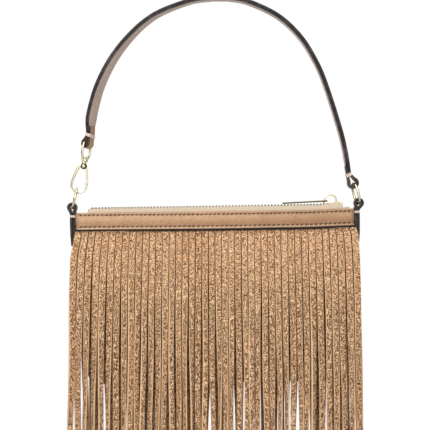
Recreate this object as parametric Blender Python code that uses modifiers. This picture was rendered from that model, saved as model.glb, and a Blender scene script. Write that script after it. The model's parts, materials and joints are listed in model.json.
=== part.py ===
# Fringed suede bag, hung by its strap.
# Units are metres, +Z is up, -Y is the front.
# The origin is on the underside of the strap's highest point, where a hook or a shoulder carries it.

import math
import random

import bmesh
import bpy
from mathutils import Matrix, Vector

MM = 0.001
SEAT = 0.3 * MM                  # clearance between two pieces that lie on each other
WELD = 0.01 * MM                 # distance under which a curve's loose caps are joined

# Strap
STRAP_WIDTH = 11.0 * MM
STRAP_END_WIDTH = 7.0 * MM       # the strap narrows to pass through the ring and the eye
STRAP_TAPER = 14.0 * MM          # length over which it narrows
STRAP_OUTER_THICK = 2.0 * MM
STRAP_LINING_THICK = 1.4 * MM
STRAP_REST_HALF = 6.0 * MM       # half of the flat stretch that rests on its support
STRAP_TWIST_LEFT = 18.0          # degrees that the left end is turned by
STRAP_FOLD_BACK = 7.0 * MM       # how far the folded end runs back up the strap
NECK_LEFT_RISE = 6.2 * MM        # from the eye's bar up to the left thread wrap
NECK_RIGHT_RISE = 7.6 * MM       # from the right ring's top up to the right thread wrap
NECK_RIGHT_INSET = 3.3 * MM      # the right leg hangs this much nearer the middle
STRAP_DROP = 152.3 * MM          # from the strap's underside down to the line through the rings
# Shape of each leg, as shares of its reach and of its drop
LEG_SHAPE_LEFT = ((0.22, 0.022), (0.439, 0.101), (0.576, 0.188), (0.697, 0.305), (0.789, 0.421),
                  (0.859, 0.538), (0.913, 0.655), (0.951, 0.770), (0.982, 0.887))
LEG_SHAPE_RIGHT = ((0.20, 0.018), (0.394, 0.079), (0.525, 0.147), (0.641, 0.239), (0.719, 0.330),
                   (0.781, 0.421), (0.828, 0.513), (0.869, 0.603), (0.908, 0.695), (0.944, 0.786),
                   (0.971, 0.877))

# Bag body
BAG_SHIFT = -4.3 * MM            # middle of the bag, left of the strap's highest point
BAG_TILT = 0.94                  # degrees that the bag hangs out of level, right end up
BAG_HALF_WIDTH = 108.0 * MM
BAND_HALF_DEPTH = 9.0 * MM
BAND_CORNER = 4.0 * MM
BAND_THICK = 1.5 * MM
BAND_TOP = -11.7 * MM            # measured from the line through the rings
BAND_HEIGHT = 14.3 * MM
POUCH_BOTTOM = -145.0 * MM
POUCH_THICK = 1.2 * MM
POUCH_COLUMNS = 12               # facets across a panel
LINING_COLUMNS = 8
POUCH_BULGE = 7.4 * MM           # how far each panel swells past its top edge
POUCH_CORNER = 15.0 * MM
POUCH_SEAM_HALF = 0.1 * MM       # half of the seam's gap beside each panel, over the seat
LINING_THICK = 0.6 * MM
LINING_SIDE_INSET = 1.5 * MM     # the lining bag is sewn this much smaller than the pouch
LINING_DEPTH_INSET = 0.7 * MM
MOUTH_DROP = 1.6 * MM            # the panels start this far under the band's top edge

# Fringe
FRINGE_END = -204.5 * MM
FRINGE_THICK = 1.4 * MM
FRINGE_HEADER = 6.0 * MM         # height of the uncut strip that is sewn under the band
FRINGE_STRIPS = 42
FRINGE_GAP = 0.45 * MM
FRINGE_FLARE = 6.5 * MM          # the strips spread this far sideways by their ends
FRINGE_TWIST_ROOM = 2.2 * MM     # extra room that a turned strip needs over the pouch
FRINGE_TWIST_START = -42.0 * MM
FRINGE_TURN = 150.0              # degrees that a strip may turn by its end
FRINGE_RAGGED = 2.5 * MM         # the strips' ends differ by up to this much
FRINGE_FRONT_SEED = 3
FRINGE_BACK_SEED = 7

# Side tabs
TAB_WIDTH = 8.0 * MM
TAB_THICK = 4.6 * MM
TAB_LEATHER = 2.0 * MM
TAB_TIP = -37.5 * MM
TAB_TIP_THICK = 1.6 * MM
TAB_LOOP_BORE = 2.2 * MM
TAB_LOOP_LIFT = 0.4 * MM         # middle of the loop over the ring's wire
TAB_NECK_DROP = 1.2 * MM         # straight stretch under the loop
TAB_SHOULDER = 8.0 * MM          # the tab keeps its thickness down to here under the band's top

# Rings
RING_RADIUS = 8.0 * MM
RING_WIRE = 1.0 * MM
RING_LEAN = 14.0
RING_OUTSET_LEFT = 1.0 * MM      # ring centre beyond the band's end
RING_OUTSET_RIGHT = 2.3 * MM
STRAP_LOOP_BORE = 2.7 * MM
STRAP_LOOP_OUTSET = 0.4 * MM     # middle of the strap's loop beyond the ring's wire
STRAP_LOOP_SAG = 0.1 * MM

# Zip
ZIP_RIDGE = -7.6 * MM            # top of the teeth
ZIP_LEFT_INSET = 5.0 * MM        # the teeth start this far inside the bag's left end
ZIP_RIGHT_INSET = 10.7 * MM
TOOTH_PITCH = 2.54 * MM
TOOTH_WIDTH = 1.25 * MM
TOOTH_HEIGHT = 1.5 * MM
TOOTH_TIP = 0.6 * MM             # half of the slot that the slider's web runs in
TOOTH_ROOT = 1.7 * MM
CHAIN_BACK = 2.7 * MM
TAPE_THICK = 0.7 * MM
TAPE_SHELF = 4.9 * MM            # flat part of the tape beside the teeth
TAPE_END_INSET = 2.0 * MM        # the tape ends this far inside the band
STOP_LENGTH = 2.0 * MM
STOP_HEIGHT = 4.4 * MM
STOP_RISE = 1.1 * MM             # how far a stop stands over the teeth
STOP_ROUNDING = 0.4 * MM

# Slider and pull
SLIDER_PARK = 6.9 * MM           # middle of the closed slider, short of the last tooth
SLIDER_LENGTH = 12.0 * MM
SLIDER_HALF_WIDTH = 4.2 * MM
SLIDER_NOSE_WIDTH = 3.0 * MM
SLIDER_PLATE = 0.9 * MM
SLIDER_WEB = 0.6 * MM
SLIDER_WEB_START = 2.4 * MM      # the web between the plates, ahead of the slider's middle
SLIDER_WEB_LENGTH = 2.2 * MM
BAIL_RADIUS = 4.6 * MM
BAIL_WIRE = 0.6 * MM
BAIL_RISE = 1.0 * MM
PULL_LENGTH = 33.0 * MM
PULL_WIDTH = 4.6 * MM
PULL_THICK = 1.2 * MM
PULL_SLOPE = 2.0
PULL_CORNER = 0.8 * MM
PULL_PLAY = 0.45 * MM            # room between the bail's wire and the pull's hole

# Snap hook
EYE_WIRE = 0.9 * MM
EYE_HALF_WIDTH = 4.9 * MM
EYE_LOOP_BORE = 1.35 * MM        # room in the strap's fold for the eye's bar
EYE_LEAN = 9.0
HUB_DROP = 13.2 * MM
HUB_RADIUS = 2.3 * MM
HUB_HEIGHT = 2.2 * MM
STEM_RADIUS = 0.8 * MM
STEM_HEAD = 1.7 * MM
STEM_DOME = 1.2 * MM             # height of the stem's head over the hub
BOSS_DROP = 17.9 * MM
BOSS_RADIUS = 2.4 * MM
BOSS_DEPTH = 3.8 * MM
HOOK_WIRE = 1.0 * MM
HOOK_BACK = 7.2 * MM             # the hook's back swings out this far from the swivel's axis
HOOK_NOSE = 4.6 * MM             # and its nose comes up this far on the other side
HOOK_BOWL = 6.6 * MM             # depth of the hook's bowl under the gate's foot
HOOK_NOSE_GAP = 0.5 * MM
HOOK_RING_PLAY = 1.48 * MM       # room between the hook's wire and the ring that hangs in it
HOOK_RING_SIDE = -2.54 * MM      # the ring's top lies this far from the swivel's axis
GATE_THICK = 1.0 * MM
GATE_WIDTH = 1.4 * MM
GATE_LENGTH = 14.6 * MM
GATE_EYE = 0.6 * MM              # metal of the gate round the rivet
GATE_CATCH_WIDTH = 2.0 * MM
GATE_CATCH_HEIGHT = 3.0 * MM
RIVET_RADIUS = 0.6 * MM
RIVET_HEAD = 1.2 * MM

PART = bpy.data.collections.new("fringed_suede_bag")
CUTTERS = bpy.data.collections.new("cutters")


def clear_scene():
    """Remove what the start-up file holds and add the two collections."""
    for old in list(bpy.data.objects):
        bpy.data.objects.remove(old, do_unlink=True)
    bpy.context.scene.collection.children.link(PART)
    bpy.context.scene.collection.children.link(CUTTERS)


def finish(name, colour, roughness, metallic=0.0):
    """One Principled material."""
    material = bpy.data.materials.new(name)
    material.use_nodes = True
    shader = material.node_tree.nodes["Principled BSDF"]
    shader.inputs["Base Color"].default_value = (*colour, 1.0)
    shader.inputs["Roughness"].default_value = roughness
    shader.inputs["Metallic"].default_value = metallic
    material.diffuse_color = (*colour, 1.0)
    return material


def tan_leather(name):
    return finish(name, (0.53, 0.32, 0.18), 0.45)


def suede(name):
    return finish(name, (0.43, 0.25, 0.13), 0.95)


def dark_leather(name):
    return finish(name, (0.05, 0.035, 0.03), 0.5)


def pale_gold(name):
    return finish(name, (0.85, 0.70, 0.45), 0.22, 1.0)


def frame_at(name, location, turn_y=0.0, parent=None):
    """An empty that carries pieces, turned about Y by degrees."""
    empty = bpy.data.objects.new(name, None)
    PART.objects.link(empty)
    empty.location = location
    empty.rotation_euler = (0.0, math.radians(turn_y), 0.0)
    empty.parent = parent
    return empty


def place(obj, material, parent, collection=PART):
    """Link an object, give it its finish and its parent."""
    collection.objects.link(obj)
    obj.data.materials.append(material)
    obj.parent = parent
    return obj


def add_solidify(obj, thickness):
    """Thicken an open surface evenly to both sides."""
    solid = obj.modifiers.new("thickness", "SOLIDIFY")
    solid.thickness = thickness
    solid.offset = 0.0
    solid.use_even_offset = True
    return obj


def sheet(name, columns, rows, point_at, thickness, material, parent, cut=None):
    """A grid laid over point_at(column, row), thickened. cut(column, row) drops a face."""
    bm = bmesh.new()
    bmesh.ops.create_grid(bm, x_segments=columns, y_segments=rows, size=1.0)
    index = {}
    for vert in bm.verts:
        column = round((vert.co.x + 1.0) * columns / 2.0)
        row = round((1.0 - vert.co.y) * rows / 2.0)
        index[vert] = (column, row)
    if cut:
        dropped = []
        for face in bm.faces:
            column = min(index[vert][0] for vert in face.verts)
            row = min(index[vert][1] for vert in face.verts)
            if cut(column, row):
                dropped.append(face)
        bmesh.ops.delete(bm, geom=dropped, context="FACES")
    for vert in bm.verts:
        vert.co = point_at(*index[vert])
    mesh = bpy.data.meshes.new(name)
    bm.to_mesh(mesh)
    bm.free()
    mesh.shade_smooth()
    obj = place(bpy.data.objects.new(name, mesh), material, parent)
    return add_solidify(obj, thickness)


def wire(name, points, radius, material, parent, cyclic=False, collection=PART):
    """A round wire through the points."""
    curve = bpy.data.curves.new(name, "CURVE")
    curve.dimensions = "3D"
    curve.bevel_depth = radius
    curve.bevel_resolution = 2
    curve.use_fill_caps = True
    spline = curve.splines.new("POLY")
    spline.points.add(len(points) - 1)
    for knot, point in zip(spline.points, points):
        knot.co = (*point, 1.0)
    spline.use_cyclic_u = cyclic
    return place(bpy.data.objects.new(name, curve), material, parent, collection)


def plate(name, outlines, thickness, material, parent, upright=False, collection=PART):
    """A flat outline with its holes, extruded. Upright plates lie in the X-Z plane."""
    curve = bpy.data.curves.new(name, "CURVE")
    curve.dimensions = "2D"
    curve.fill_mode = "BOTH"
    curve.extrude = thickness / 2.0
    for outline in outlines:
        spline = curve.splines.new("POLY")
        spline.points.add(len(outline) - 1)
        for knot, (x, y) in zip(spline.points, outline):
            knot.co = (x, y, 0.0, 1.0)
        spline.use_cyclic_u = True
    obj = place(bpy.data.objects.new(name, curve), material, parent, collection)
    if upright:
        obj.rotation_euler = (math.radians(90.0), 0.0, 0.0)
    return obj


def turned(name, profile, material, parent, steps=20, collection=PART):
    """A profile of (radius, height), top to bottom, turned about local Z."""
    mesh = bpy.data.meshes.new(name)
    bm = bmesh.new()
    verts = [bm.verts.new((radius, 0.0, height)) for radius, height in profile]
    for first, second in zip(verts, verts[1:]):
        bm.edges.new((first, second))
    bm.to_mesh(mesh)
    bm.free()
    obj = place(bpy.data.objects.new(name, mesh), material, parent, collection)
    screw = obj.modifiers.new("turn", "SCREW")
    screw.steps = steps
    screw.render_steps = steps
    screw.use_merge_vertices = True
    screw.merge_threshold = WELD
    return obj


def as_mesh(obj):
    """Change a curve or a turned piece into a welded mesh, so that it can be joined."""
    bpy.context.view_layer.update()
    graph = bpy.context.evaluated_depsgraph_get()
    mesh = bpy.data.meshes.new_from_object(obj.evaluated_get(graph))
    bm = bmesh.new()
    bm.from_mesh(mesh)
    bmesh.ops.remove_doubles(bm, verts=bm.verts, dist=WELD)
    bmesh.ops.recalc_face_normals(bm, faces=bm.faces)
    bm.to_mesh(mesh)
    bm.free()
    name = obj.name
    collection = obj.users_collection[0]
    parent = obj.parent
    local = obj.matrix_local.copy()
    bpy.data.objects.remove(obj, do_unlink=True)
    solid = bpy.data.objects.new(name, mesh)
    collection.objects.link(solid)
    solid.parent = parent
    solid.matrix_local = local
    return solid


def combine(main, other, operation):
    """Join or cut main with other, which moves to the cutters."""
    modifier = main.modifiers.new(other.name, "BOOLEAN")
    modifier.operation = operation
    modifier.solver = "EXACT"
    modifier.object = other
    for collection in other.users_collection:
        collection.objects.unlink(other)
    CUTTERS.objects.link(other)
    other.hide_render = True
    other.display_type = "WIRE"


def block(name, low, high, material, parent):
    """A box between two corners."""
    mesh = bpy.data.meshes.new(name)
    bm = bmesh.new()
    size = [top - bottom for bottom, top in zip(low, high)]
    middle = [(top + bottom) / 2.0 for bottom, top in zip(low, high)]
    turn = Matrix.Translation(middle) @ Matrix.Diagonal((*size, 1.0))
    bmesh.ops.create_cube(bm, size=1.0, matrix=turn)
    bm.to_mesh(mesh)
    bm.free()
    return place(bpy.data.objects.new(name, mesh), material, parent)


def smooth_route(points, per_span):
    """Points along a smooth curve through the given ones."""
    knots = [2 * points[0] - points[1]] + list(points) + [2 * points[-1] - points[-2]]
    route = []
    for i in range(1, len(knots) - 2):
        before, start, end, after = knots[i - 1:i + 3]
        for step in range(per_span):
            t = step / per_span
            route.append(0.5 * ((2 * start) + (end - before) * t
                                + (2 * before - 5 * start + 4 * end - after) * t ** 2
                                + (3 * start - before - 3 * end + after) * t ** 3))
    route.append(points[-1].copy())
    return route


def arc(centre, radius, start, end, steps):
    """Points of a flat arc, angles in degrees."""
    points = []
    for i in range(steps + 1):
        angle = math.radians(start + (end - start) * i / steps)
        points.append((centre[0] + radius * math.cos(angle), centre[1] + radius * math.sin(angle)))
    return points


def ease(value, start, end):
    """0 before start, 1 after end, smooth between."""
    share = min(max((value - start) / (end - start), 0.0), 1.0)
    return share * share * (3.0 - 2.0 * share)


# Where the pieces lie, worked out from the sizes above

BAND_BOTTOM = BAND_TOP - BAND_HEIGHT
HEADER_TOP = BAND_BOTTOM + FRINGE_HEADER
HEADER_HALF_WIDTH = BAG_HALF_WIDTH - BAND_THICK - SEAT - FRINGE_THICK / 2
HEADER_HALF_DEPTH = BAND_HALF_DEPTH - BAND_THICK - SEAT - FRINGE_THICK / 2
HEADER_CORNER = max(BAND_CORNER - BAND_THICK - SEAT - FRINGE_THICK / 2, 0.5 * MM)
OVER_POUCH = POUCH_THICK / 2 + SEAT + FRINGE_THICK / 2
POUCH_HALF_WIDTH = HEADER_HALF_WIDTH - OVER_POUCH
POUCH_TOP_DEPTH = HEADER_HALF_DEPTH - OVER_POUCH
TEETH_MIDDLE = ZIP_RIDGE - TOOTH_HEIGHT / 2
ZIP_LEFT = ZIP_LEFT_INSET - BAG_HALF_WIDTH
ZIP_RIGHT = BAG_HALF_WIDTH - ZIP_RIGHT_INSET
ROUTE_SEAM = STRAP_LINING_THICK + SEAT / 2
FOLD_OFFSET = (STRAP_OUTER_THICK + SEAT) / 2


def bag_to_world(x, z):
    """A point of the tilted bag in the strap's frame."""
    tilt = math.radians(BAG_TILT)
    return Vector((BAG_SHIFT + x * math.cos(tilt) - z * math.sin(tilt), 0.0,
                   -STRAP_DROP + x * math.sin(tilt) + z * math.cos(tilt)))


def ring_top(side):
    """Middle of the wire at the top of a ring, in the strap's frame. side is -1 left, 1 right."""
    outset = RING_OUTSET_LEFT if side < 0 else RING_OUTSET_RIGHT
    lean = math.radians(RING_LEAN)
    x = side * (BAG_HALF_WIDTH + outset - RING_RADIUS * math.sin(lean))
    return bag_to_world(x, RING_RADIUS * math.cos(lean))


def eye_place():
    """The hook's eye, measured up the hook from the ring that hangs in its bowl."""
    lean = math.radians(EYE_LEAN)
    up = BOSS_DROP + GATE_LENGTH + HOOK_BOWL - HOOK_WIRE - HOOK_RING_PLAY - RING_WIRE
    return ring_top(-1) + Vector((up * math.sin(lean) - HOOK_RING_SIDE * math.cos(lean), 0.0,
                                  up * math.cos(lean) + HOOK_RING_SIDE * math.sin(lean)))


def ring_bottom(side):
    """Middle of the wire at the bottom of a ring, in the bag's frame."""
    outset = RING_OUTSET_LEFT if side < 0 else RING_OUTSET_RIGHT
    lean = math.radians(RING_LEAN)
    x = side * (BAG_HALF_WIDTH + outset + RING_RADIUS * math.sin(lean))
    return Vector((x, 0.0, -RING_RADIUS * math.cos(lean)))


# Strap

def strap_station(point, tangent, side, twist, width):
    """A station of the strap: its point, its inward normal, its width direction and its width."""
    inward = Vector((side * tangent.z, 0.0, -side * tangent.x))
    turn = math.radians(twist)
    front = Vector((0.0, 1.0, 0.0))
    across = front * math.cos(turn) + inward * math.sin(turn)
    normal = inward * math.cos(turn) - front * math.sin(turn)
    return point, normal, across, width


def strap_leg(side):
    """Stations of one leg from the top to its neck, and the loop's centre, radius and direction."""
    if side < 0:
        centre = eye_place()
        neck = centre + Vector((0.0, 0.0, NECK_LEFT_RISE))
        shape, bore, end_twist = LEG_SHAPE_LEFT, EYE_LOOP_BORE, STRAP_TWIST_LEFT
    else:
        centre = ring_top(side) + Vector((STRAP_LOOP_OUTSET, 0.0, -STRAP_LOOP_SAG))
        neck = centre + Vector((-NECK_RIGHT_INSET, 0.0, NECK_RIGHT_RISE))
        shape, bore, end_twist = LEG_SHAPE_RIGHT, STRAP_LOOP_BORE, 0.0
    top = Vector((side * STRAP_REST_HALF, 0.0, ROUTE_SEAM))
    knots = [top]
    for across, down in shape:
        knots.append(Vector((neck.x * across, 0.0, ROUTE_SEAM + (neck.z - ROUTE_SEAM) * down)))
    knots.append(neck)
    route = smooth_route(knots, 2)
    length = [0.0]
    for first, second in zip(route, route[1:]):
        length.append(length[-1] + (second - first).length)
    stations = []
    for i, point in enumerate(route):
        before = route[i - 1] if i else Vector((0.0, 0.0, ROUTE_SEAM))
        after = route[i + 1] if i + 1 < len(route) else centre
        tangent = (after - before).normalized()
        if i == 0:
            tangent = Vector((side, 0.0, 0.0))
        left = length[-1] - length[i]
        width = STRAP_END_WIDTH + (STRAP_WIDTH - STRAP_END_WIDTH) * ease(left, 1.0 * MM, STRAP_TAPER)
        share = ease(length[i] / length[-1], 0.0, 1.0)
        stations.append(strap_station(point, tangent, side, end_twist * share, width))
    return stations, centre, bore + STRAP_OUTER_THICK / 2, end_twist


def strap_outer(parent, material):
    """The outer leather, folded at each end round what it carries and back up behind itself."""
    halves = []
    for side in (-1, 1):
        stations, centre, radius, twist = strap_leg(side)
        points = [(p - n * FOLD_OFFSET, a, w) for p, n, a, w in stations]
        neck = stations[-1][0]
        down = (centre - neck).normalized()
        _, normal, across, _ = strap_station(neck, down, side, twist, STRAP_END_WIDTH)
        for step in range(10):
            angle = math.radians(222.0 - 264.0 * step / 9)
            rim = centre + normal * radius * math.cos(angle) + down * radius * math.sin(angle)
            points.append((rim, across, STRAP_END_WIDTH))
        climbed = 0.0
        for i in range(len(stations) - 1, 0, -1):
            p, n, a, _ = stations[i]
            points.append((p + n * FOLD_OFFSET, a, STRAP_END_WIDTH))
            climbed += (p - stations[i - 1][0]).length
            if climbed > STRAP_FOLD_BACK:
                break
        halves.append(points)
    rows = list(reversed(halves[0])) + halves[1]

    def point_at(column, row):
        point, across, width = rows[row]
        return point + across * width * (column - 0.5)

    return sheet("strap_outer", 1, len(rows) - 1, point_at, STRAP_OUTER_THICK, material, parent)


def strap_lining(parent, material):
    """The lining lies under the outer leather and ends where the folded ends begin."""
    offset = (STRAP_LINING_THICK + SEAT) / 2
    rows = []
    for side in (-1, 1):
        stations = strap_leg(side)[0]
        climbed = 0.0
        last = len(stations) - 1
        while climbed <= STRAP_FOLD_BACK and last > 1:
            climbed += (stations[last][0] - stations[last - 1][0]).length
            last -= 1
        start, end = stations[last][0], stations[last - 1][0]
        kept = [(p + n * offset, a, w - 2 * SEAT) for p, n, a, w in stations[:last]]
        tip = start + (end - start).normalized() * 2 * SEAT
        _, n, a, w = stations[last]
        kept.append((tip + n * offset, a, w - 2 * SEAT))
        rows = list(reversed(kept)) if side < 0 else rows + kept

    def point_at(column, row):
        point, across, width = rows[row]
        return point + across * width * (column - 0.5)

    return sheet("strap_lining", 1, len(rows) - 1, point_at, STRAP_LINING_THICK, material, parent)


# Bag: outline of its plan, used by the bands and the fringe

def plan_corners(half_width, half_depth, corner):
    """Half of a rounded oblong, from the left side seam round the front to the right one."""
    right = [(half_width, SEAT / 2)]
    right += arc((half_width - corner, half_depth - corner), corner, 0.0, 90.0, 4)
    left = [(-x, y) for x, y in right]
    return left + list(reversed(right))


def top_band(name, back, parent, material):
    """The smooth leather band that the zip and the fringe are sewn to."""
    plan = plan_corners(BAG_HALF_WIDTH - BAND_THICK / 2, BAND_HALF_DEPTH - BAND_THICK / 2,
                        BAND_CORNER - BAND_THICK / 2)
    side = 1 if back else -1

    def point_at(column, row):
        x, y = plan[column]
        return Vector((x, side * y, BAND_TOP - BAND_HEIGHT * row))

    return sheet(name, len(plan) - 1, 1, point_at, BAND_THICK, material, parent)


def pouch_depth(z):
    """How far a panel stands from the middle of the bag at a height."""
    seam = (SEAT + POUCH_THICK) / 2
    share = min(max((BAND_BOTTOM - z) / (BAND_BOTTOM - POUCH_BOTTOM), 0.0), 1.0)
    swell = POUCH_TOP_DEPTH - seam + POUCH_BULGE * math.sin(math.pi * share ** 0.85)
    return seam + swell * math.sqrt(max(1.0 - share ** 6, 0.0))


def pouch_sheet(name, back, inset_side, inset_depth, thickness, columns, parent, material):
    """One bulging panel, flat against its partner along the side and bottom seams."""
    shares = (0.0, 0.13, 0.3, 0.5, 0.7, 0.85, 0.94, 1.0)
    top = BAND_TOP - MOUTH_DROP
    bottom = POUCH_BOTTOM + inset_side
    heights = [top] + [BAND_BOTTOM + (bottom - BAND_BOTTOM) * share for share in shares]
    side = 1 if back else -1
    seam = (SEAT + thickness) / 2 + POUCH_SEAM_HALF

    def point_at(column, row):
        z = heights[row]
        low = POUCH_CORNER - (z - bottom)
        width = POUCH_HALF_WIDTH - inset_side
        if low > 0.0:
            width -= POUCH_CORNER - math.sqrt(max(POUCH_CORNER ** 2 - low ** 2, 0.0))
        across = math.sin(math.pi / 2 * (2 * column / columns - 1))
        power = 12.0 - 8.0 * ease(-z, -BAND_BOTTOM, -BAND_BOTTOM + 40 * MM)
        outline = max(1.0 - abs(across) ** power, 0.0) ** (1.0 / power)
        share = (BAND_BOTTOM - z) / (BAND_BOTTOM - bottom)
        depth = pouch_depth(BAND_BOTTOM + (POUCH_BOTTOM - BAND_BOTTOM) * share) - inset_depth
        y = seam + max(depth - seam, 0.0) * outline
        return Vector((width * across, side * y, z))

    return sheet(name, columns, len(heights) - 1, point_at, thickness, material, parent)


# Fringe

def path_point(share, stretch, depth):
    """Point and tangent at a share of the header's length, spread sideways and forwards."""
    width, half, corner = HEADER_HALF_WIDTH, HEADER_HALF_DEPTH, HEADER_CORNER
    flank = half - corner - SEAT / 2
    bend = math.pi * corner / 2
    front = 2 * (width - corner)
    place_along = share * (2 * flank + 2 * bend + front)
    mirror = 1
    if place_along > flank + bend + front / 2:
        place_along = 2 * flank + 2 * bend + front - place_along
        mirror = -1
    if place_along < flank:
        x, y, tx, ty = -width, SEAT / 2 + place_along, 0.0, 1.0
    elif place_along < flank + bend:
        turn = (place_along - flank) / corner
        x = -(width - corner) - corner * math.cos(turn)
        y = half - corner + corner * math.sin(turn)
        tx, ty = math.sin(turn), math.cos(turn)
    else:
        x, y, tx, ty = -(width - corner) + place_along - flank - bend, half, 1.0, 0.0
    point = Vector((mirror * x * stretch, y * depth, 0.0))
    tangent = Vector((tx * stretch, mirror * ty * depth, 0.0)).normalized()
    return point, tangent


def fringe(name, back, parent, material, seed):
    """A strip of suede cut into hanging strips. The header is sewn in under the band."""
    chance = random.Random(seed)
    slit_start = BAND_BOTTOM - SEAT
    heights = [HEADER_TOP, slit_start] + [slit_start + (FRINGE_END - slit_start) * share
                                          for share in (0.1, 0.3, 0.53, 0.77, 1.0)]
    length = path_length()
    half_strip = (length / FRINGE_STRIPS - FRINGE_GAP) / 2
    turns = [chance.uniform(-FRINGE_TURN, FRINGE_TURN) for _ in range(FRINGE_STRIPS)]
    lengths = [chance.uniform(-FRINGE_RAGGED, 0.0) for _ in range(FRINGE_STRIPS)]
    plumb = math.tan(math.radians(BAG_TILT))
    side = 1 if back else -1

    def point_at(column, row):
        strip, edge = divmod(column, 2)
        z = heights[row]
        lean = ease(-z, -slit_start, -FRINGE_END)
        stretch = 1.0 + FRINGE_FLARE / HEADER_HALF_WIDTH * lean
        depth = fringe_depth(z) / HEADER_HALF_DEPTH
        middle, tangent = path_point((strip + 0.5) / FRINGE_STRIPS, stretch, depth)
        reach = half_strip * (1 if edge else -1)
        if row < 2:
            point = path_point((strip + 0.5 + reach * FRINGE_STRIPS / length) / FRINGE_STRIPS,
                               1.0, 1.0)[0]
        else:
            turn = math.radians(turns[strip]) * ease(-z, -FRINGE_TWIST_START, -FRINGE_END)
            outward = Vector((-tangent.y, tangent.x, 0.0))
            point = middle + (tangent * math.cos(turn) + outward * math.sin(turn)) * reach
        if row == len(heights) - 1:
            z -= lengths[strip]
        shift = (slit_start - z) * plumb if z < slit_start else 0.0
        return Vector((point.x - shift, side * point.y, z))

    def slit(column, row):
        return column % 2 == 1 and row > 0

    return sheet(name, 2 * FRINGE_STRIPS - 1, len(heights) - 1, point_at, FRINGE_THICK,
                 material, parent, slit)


def path_length():
    """Length of the header round one face of the bag."""
    flank = HEADER_HALF_DEPTH - HEADER_CORNER - SEAT / 2
    return 2 * flank + math.pi * HEADER_CORNER + 2 * (HEADER_HALF_WIDTH - HEADER_CORNER)


def fringe_depth(z):
    """The strips follow the pouch out to its widest place and hang straight from there."""
    reach = HEADER_HALF_DEPTH
    for step in range(41):
        height = BAND_BOTTOM + (z - BAND_BOTTOM) * step / 40 if z < BAND_BOTTOM else BAND_BOTTOM
        room = FRINGE_TWIST_ROOM * ease(-height, -BAND_BOTTOM, -BAND_BOTTOM + 35 * MM)
        reach = max(reach, pouch_depth(height) + OVER_POUCH + room)
    return reach


# Side tabs and rings

def side_tab(name, side, parent, material):
    """A leather strip folded round the ring, its two ends sewn together down the bag's side."""
    ring = ring_bottom(side)
    centre = (abs(ring.x), ring.z + TAB_LOOP_LIFT)
    outer = TAB_LOOP_BORE + TAB_LEATHER
    inner_face = BAG_HALF_WIDTH + SEAT
    neck = centre[1] - outer - TAB_NECK_DROP
    outline = [(inner_face, TAB_TIP), (inner_face, neck)]
    outline += arc(centre, outer, 226.0, -46.0, 14)
    outline += [(inner_face + TAB_THICK, neck), (inner_face + TAB_THICK, BAND_TOP - TAB_SHOULDER),
                (inner_face + TAB_TIP_THICK, TAB_TIP)]
    hole = arc(centre, TAB_LOOP_BORE, 0.0, 330.0, 11)
    outlines = [[(side * x, z) for x, z in line] for line in (outline, hole)]
    return plate(name, outlines, TAB_WIDTH, material, parent, upright=True)


def ring(name, side, parent, material):
    """A round wire ring that stands in its tab. Its frame is at the foot of the ring."""
    foot = frame_at(name + "_pivot", ring_bottom(side), -side * RING_LEAN, parent)
    points = []
    for step in range(24):
        angle = 2 * math.pi * step / 24
        points.append((0.0, RING_RADIUS * math.sin(angle), RING_RADIUS * (1 - math.cos(angle))))
    return wire(name, points, RING_WIRE, material, foot, cyclic=True)


# Zip

def zip_teeth(name, back, parent, material):
    """One row of teeth on its bead, with a slot left for the slider's web."""
    side = 1 if back else -1
    count = int((ZIP_RIGHT - ZIP_LEFT) / TOOTH_PITCH)
    start = ZIP_LEFT + TOOTH_PITCH * (0.75 if back else 0.35)
    outline = [(ZIP_LEFT, CHAIN_BACK), (ZIP_RIGHT, CHAIN_BACK), (ZIP_RIGHT, TOOTH_ROOT)]
    for tooth in reversed(range(count)):
        x = start + tooth * TOOTH_PITCH
        half = TOOTH_WIDTH / 2
        outline += [(x + half, TOOTH_ROOT), (x + 0.7 * half, TOOTH_TIP),
                    (x - 0.7 * half, TOOTH_TIP), (x - half, TOOTH_ROOT)]
    outline.append((ZIP_LEFT, TOOTH_ROOT))
    obj = plate(name, [[(x, side * y) for x, y in outline]], TOOTH_HEIGHT, material, parent)
    obj.location = (0.0, 0.0, TEETH_MIDDLE)
    return obj


def zip_tape(name, back, parent, material):
    """The tape runs from the teeth over the band's top edge and down inside it."""
    side = 1 if back else -1
    inside = BAND_HALF_DEPTH - BAND_THICK - SEAT - TAPE_THICK / 2
    section = [(CHAIN_BACK + SEAT, TEETH_MIDDLE), (TAPE_SHELF, TEETH_MIDDLE),
               (inside - 0.3 * MM, BAND_TOP + 0.3 * MM), (inside, BAND_TOP - 1.0 * MM),
               (inside, HEADER_TOP + SEAT)]
    half_length = BAG_HALF_WIDTH - BAND_THICK - TAPE_END_INSET

    def point_at(column, row):
        y, z = section[row]
        return Vector((half_length * (2 * column - 1), side * y, z))

    return sheet(name, 1, len(section) - 1, point_at, TAPE_THICK, material, parent)


def zip_stop(name, x, parent, material):
    """A metal stop clamped on the tapes past the last tooth."""
    top = ZIP_RIDGE + STOP_RISE
    low = (x, -CHAIN_BACK, top - STOP_HEIGHT)
    high = (x + STOP_LENGTH, CHAIN_BACK, top)
    stop = block(name, low, high, material, parent)
    edge = stop.modifiers.new("rounding", "BEVEL")
    edge.width = STOP_ROUNDING
    edge.segments = 2
    return stop


def slider_outline():
    """Plan of a slider's plates: wide at the nose, narrow at the tail."""
    half = SLIDER_LENGTH / 2
    upper = [(-half, SLIDER_NOSE_WIDTH * 0.7), (-half * 0.8, SLIDER_NOSE_WIDTH),
             (half * 0.1, SLIDER_HALF_WIDTH), (half * 0.6, SLIDER_HALF_WIDTH),
             (half * 0.95, SLIDER_NOSE_WIDTH * 0.8), (half, SLIDER_NOSE_WIDTH * 0.4)]
    return upper + [(x, -y) for x, y in reversed(upper)]


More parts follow.
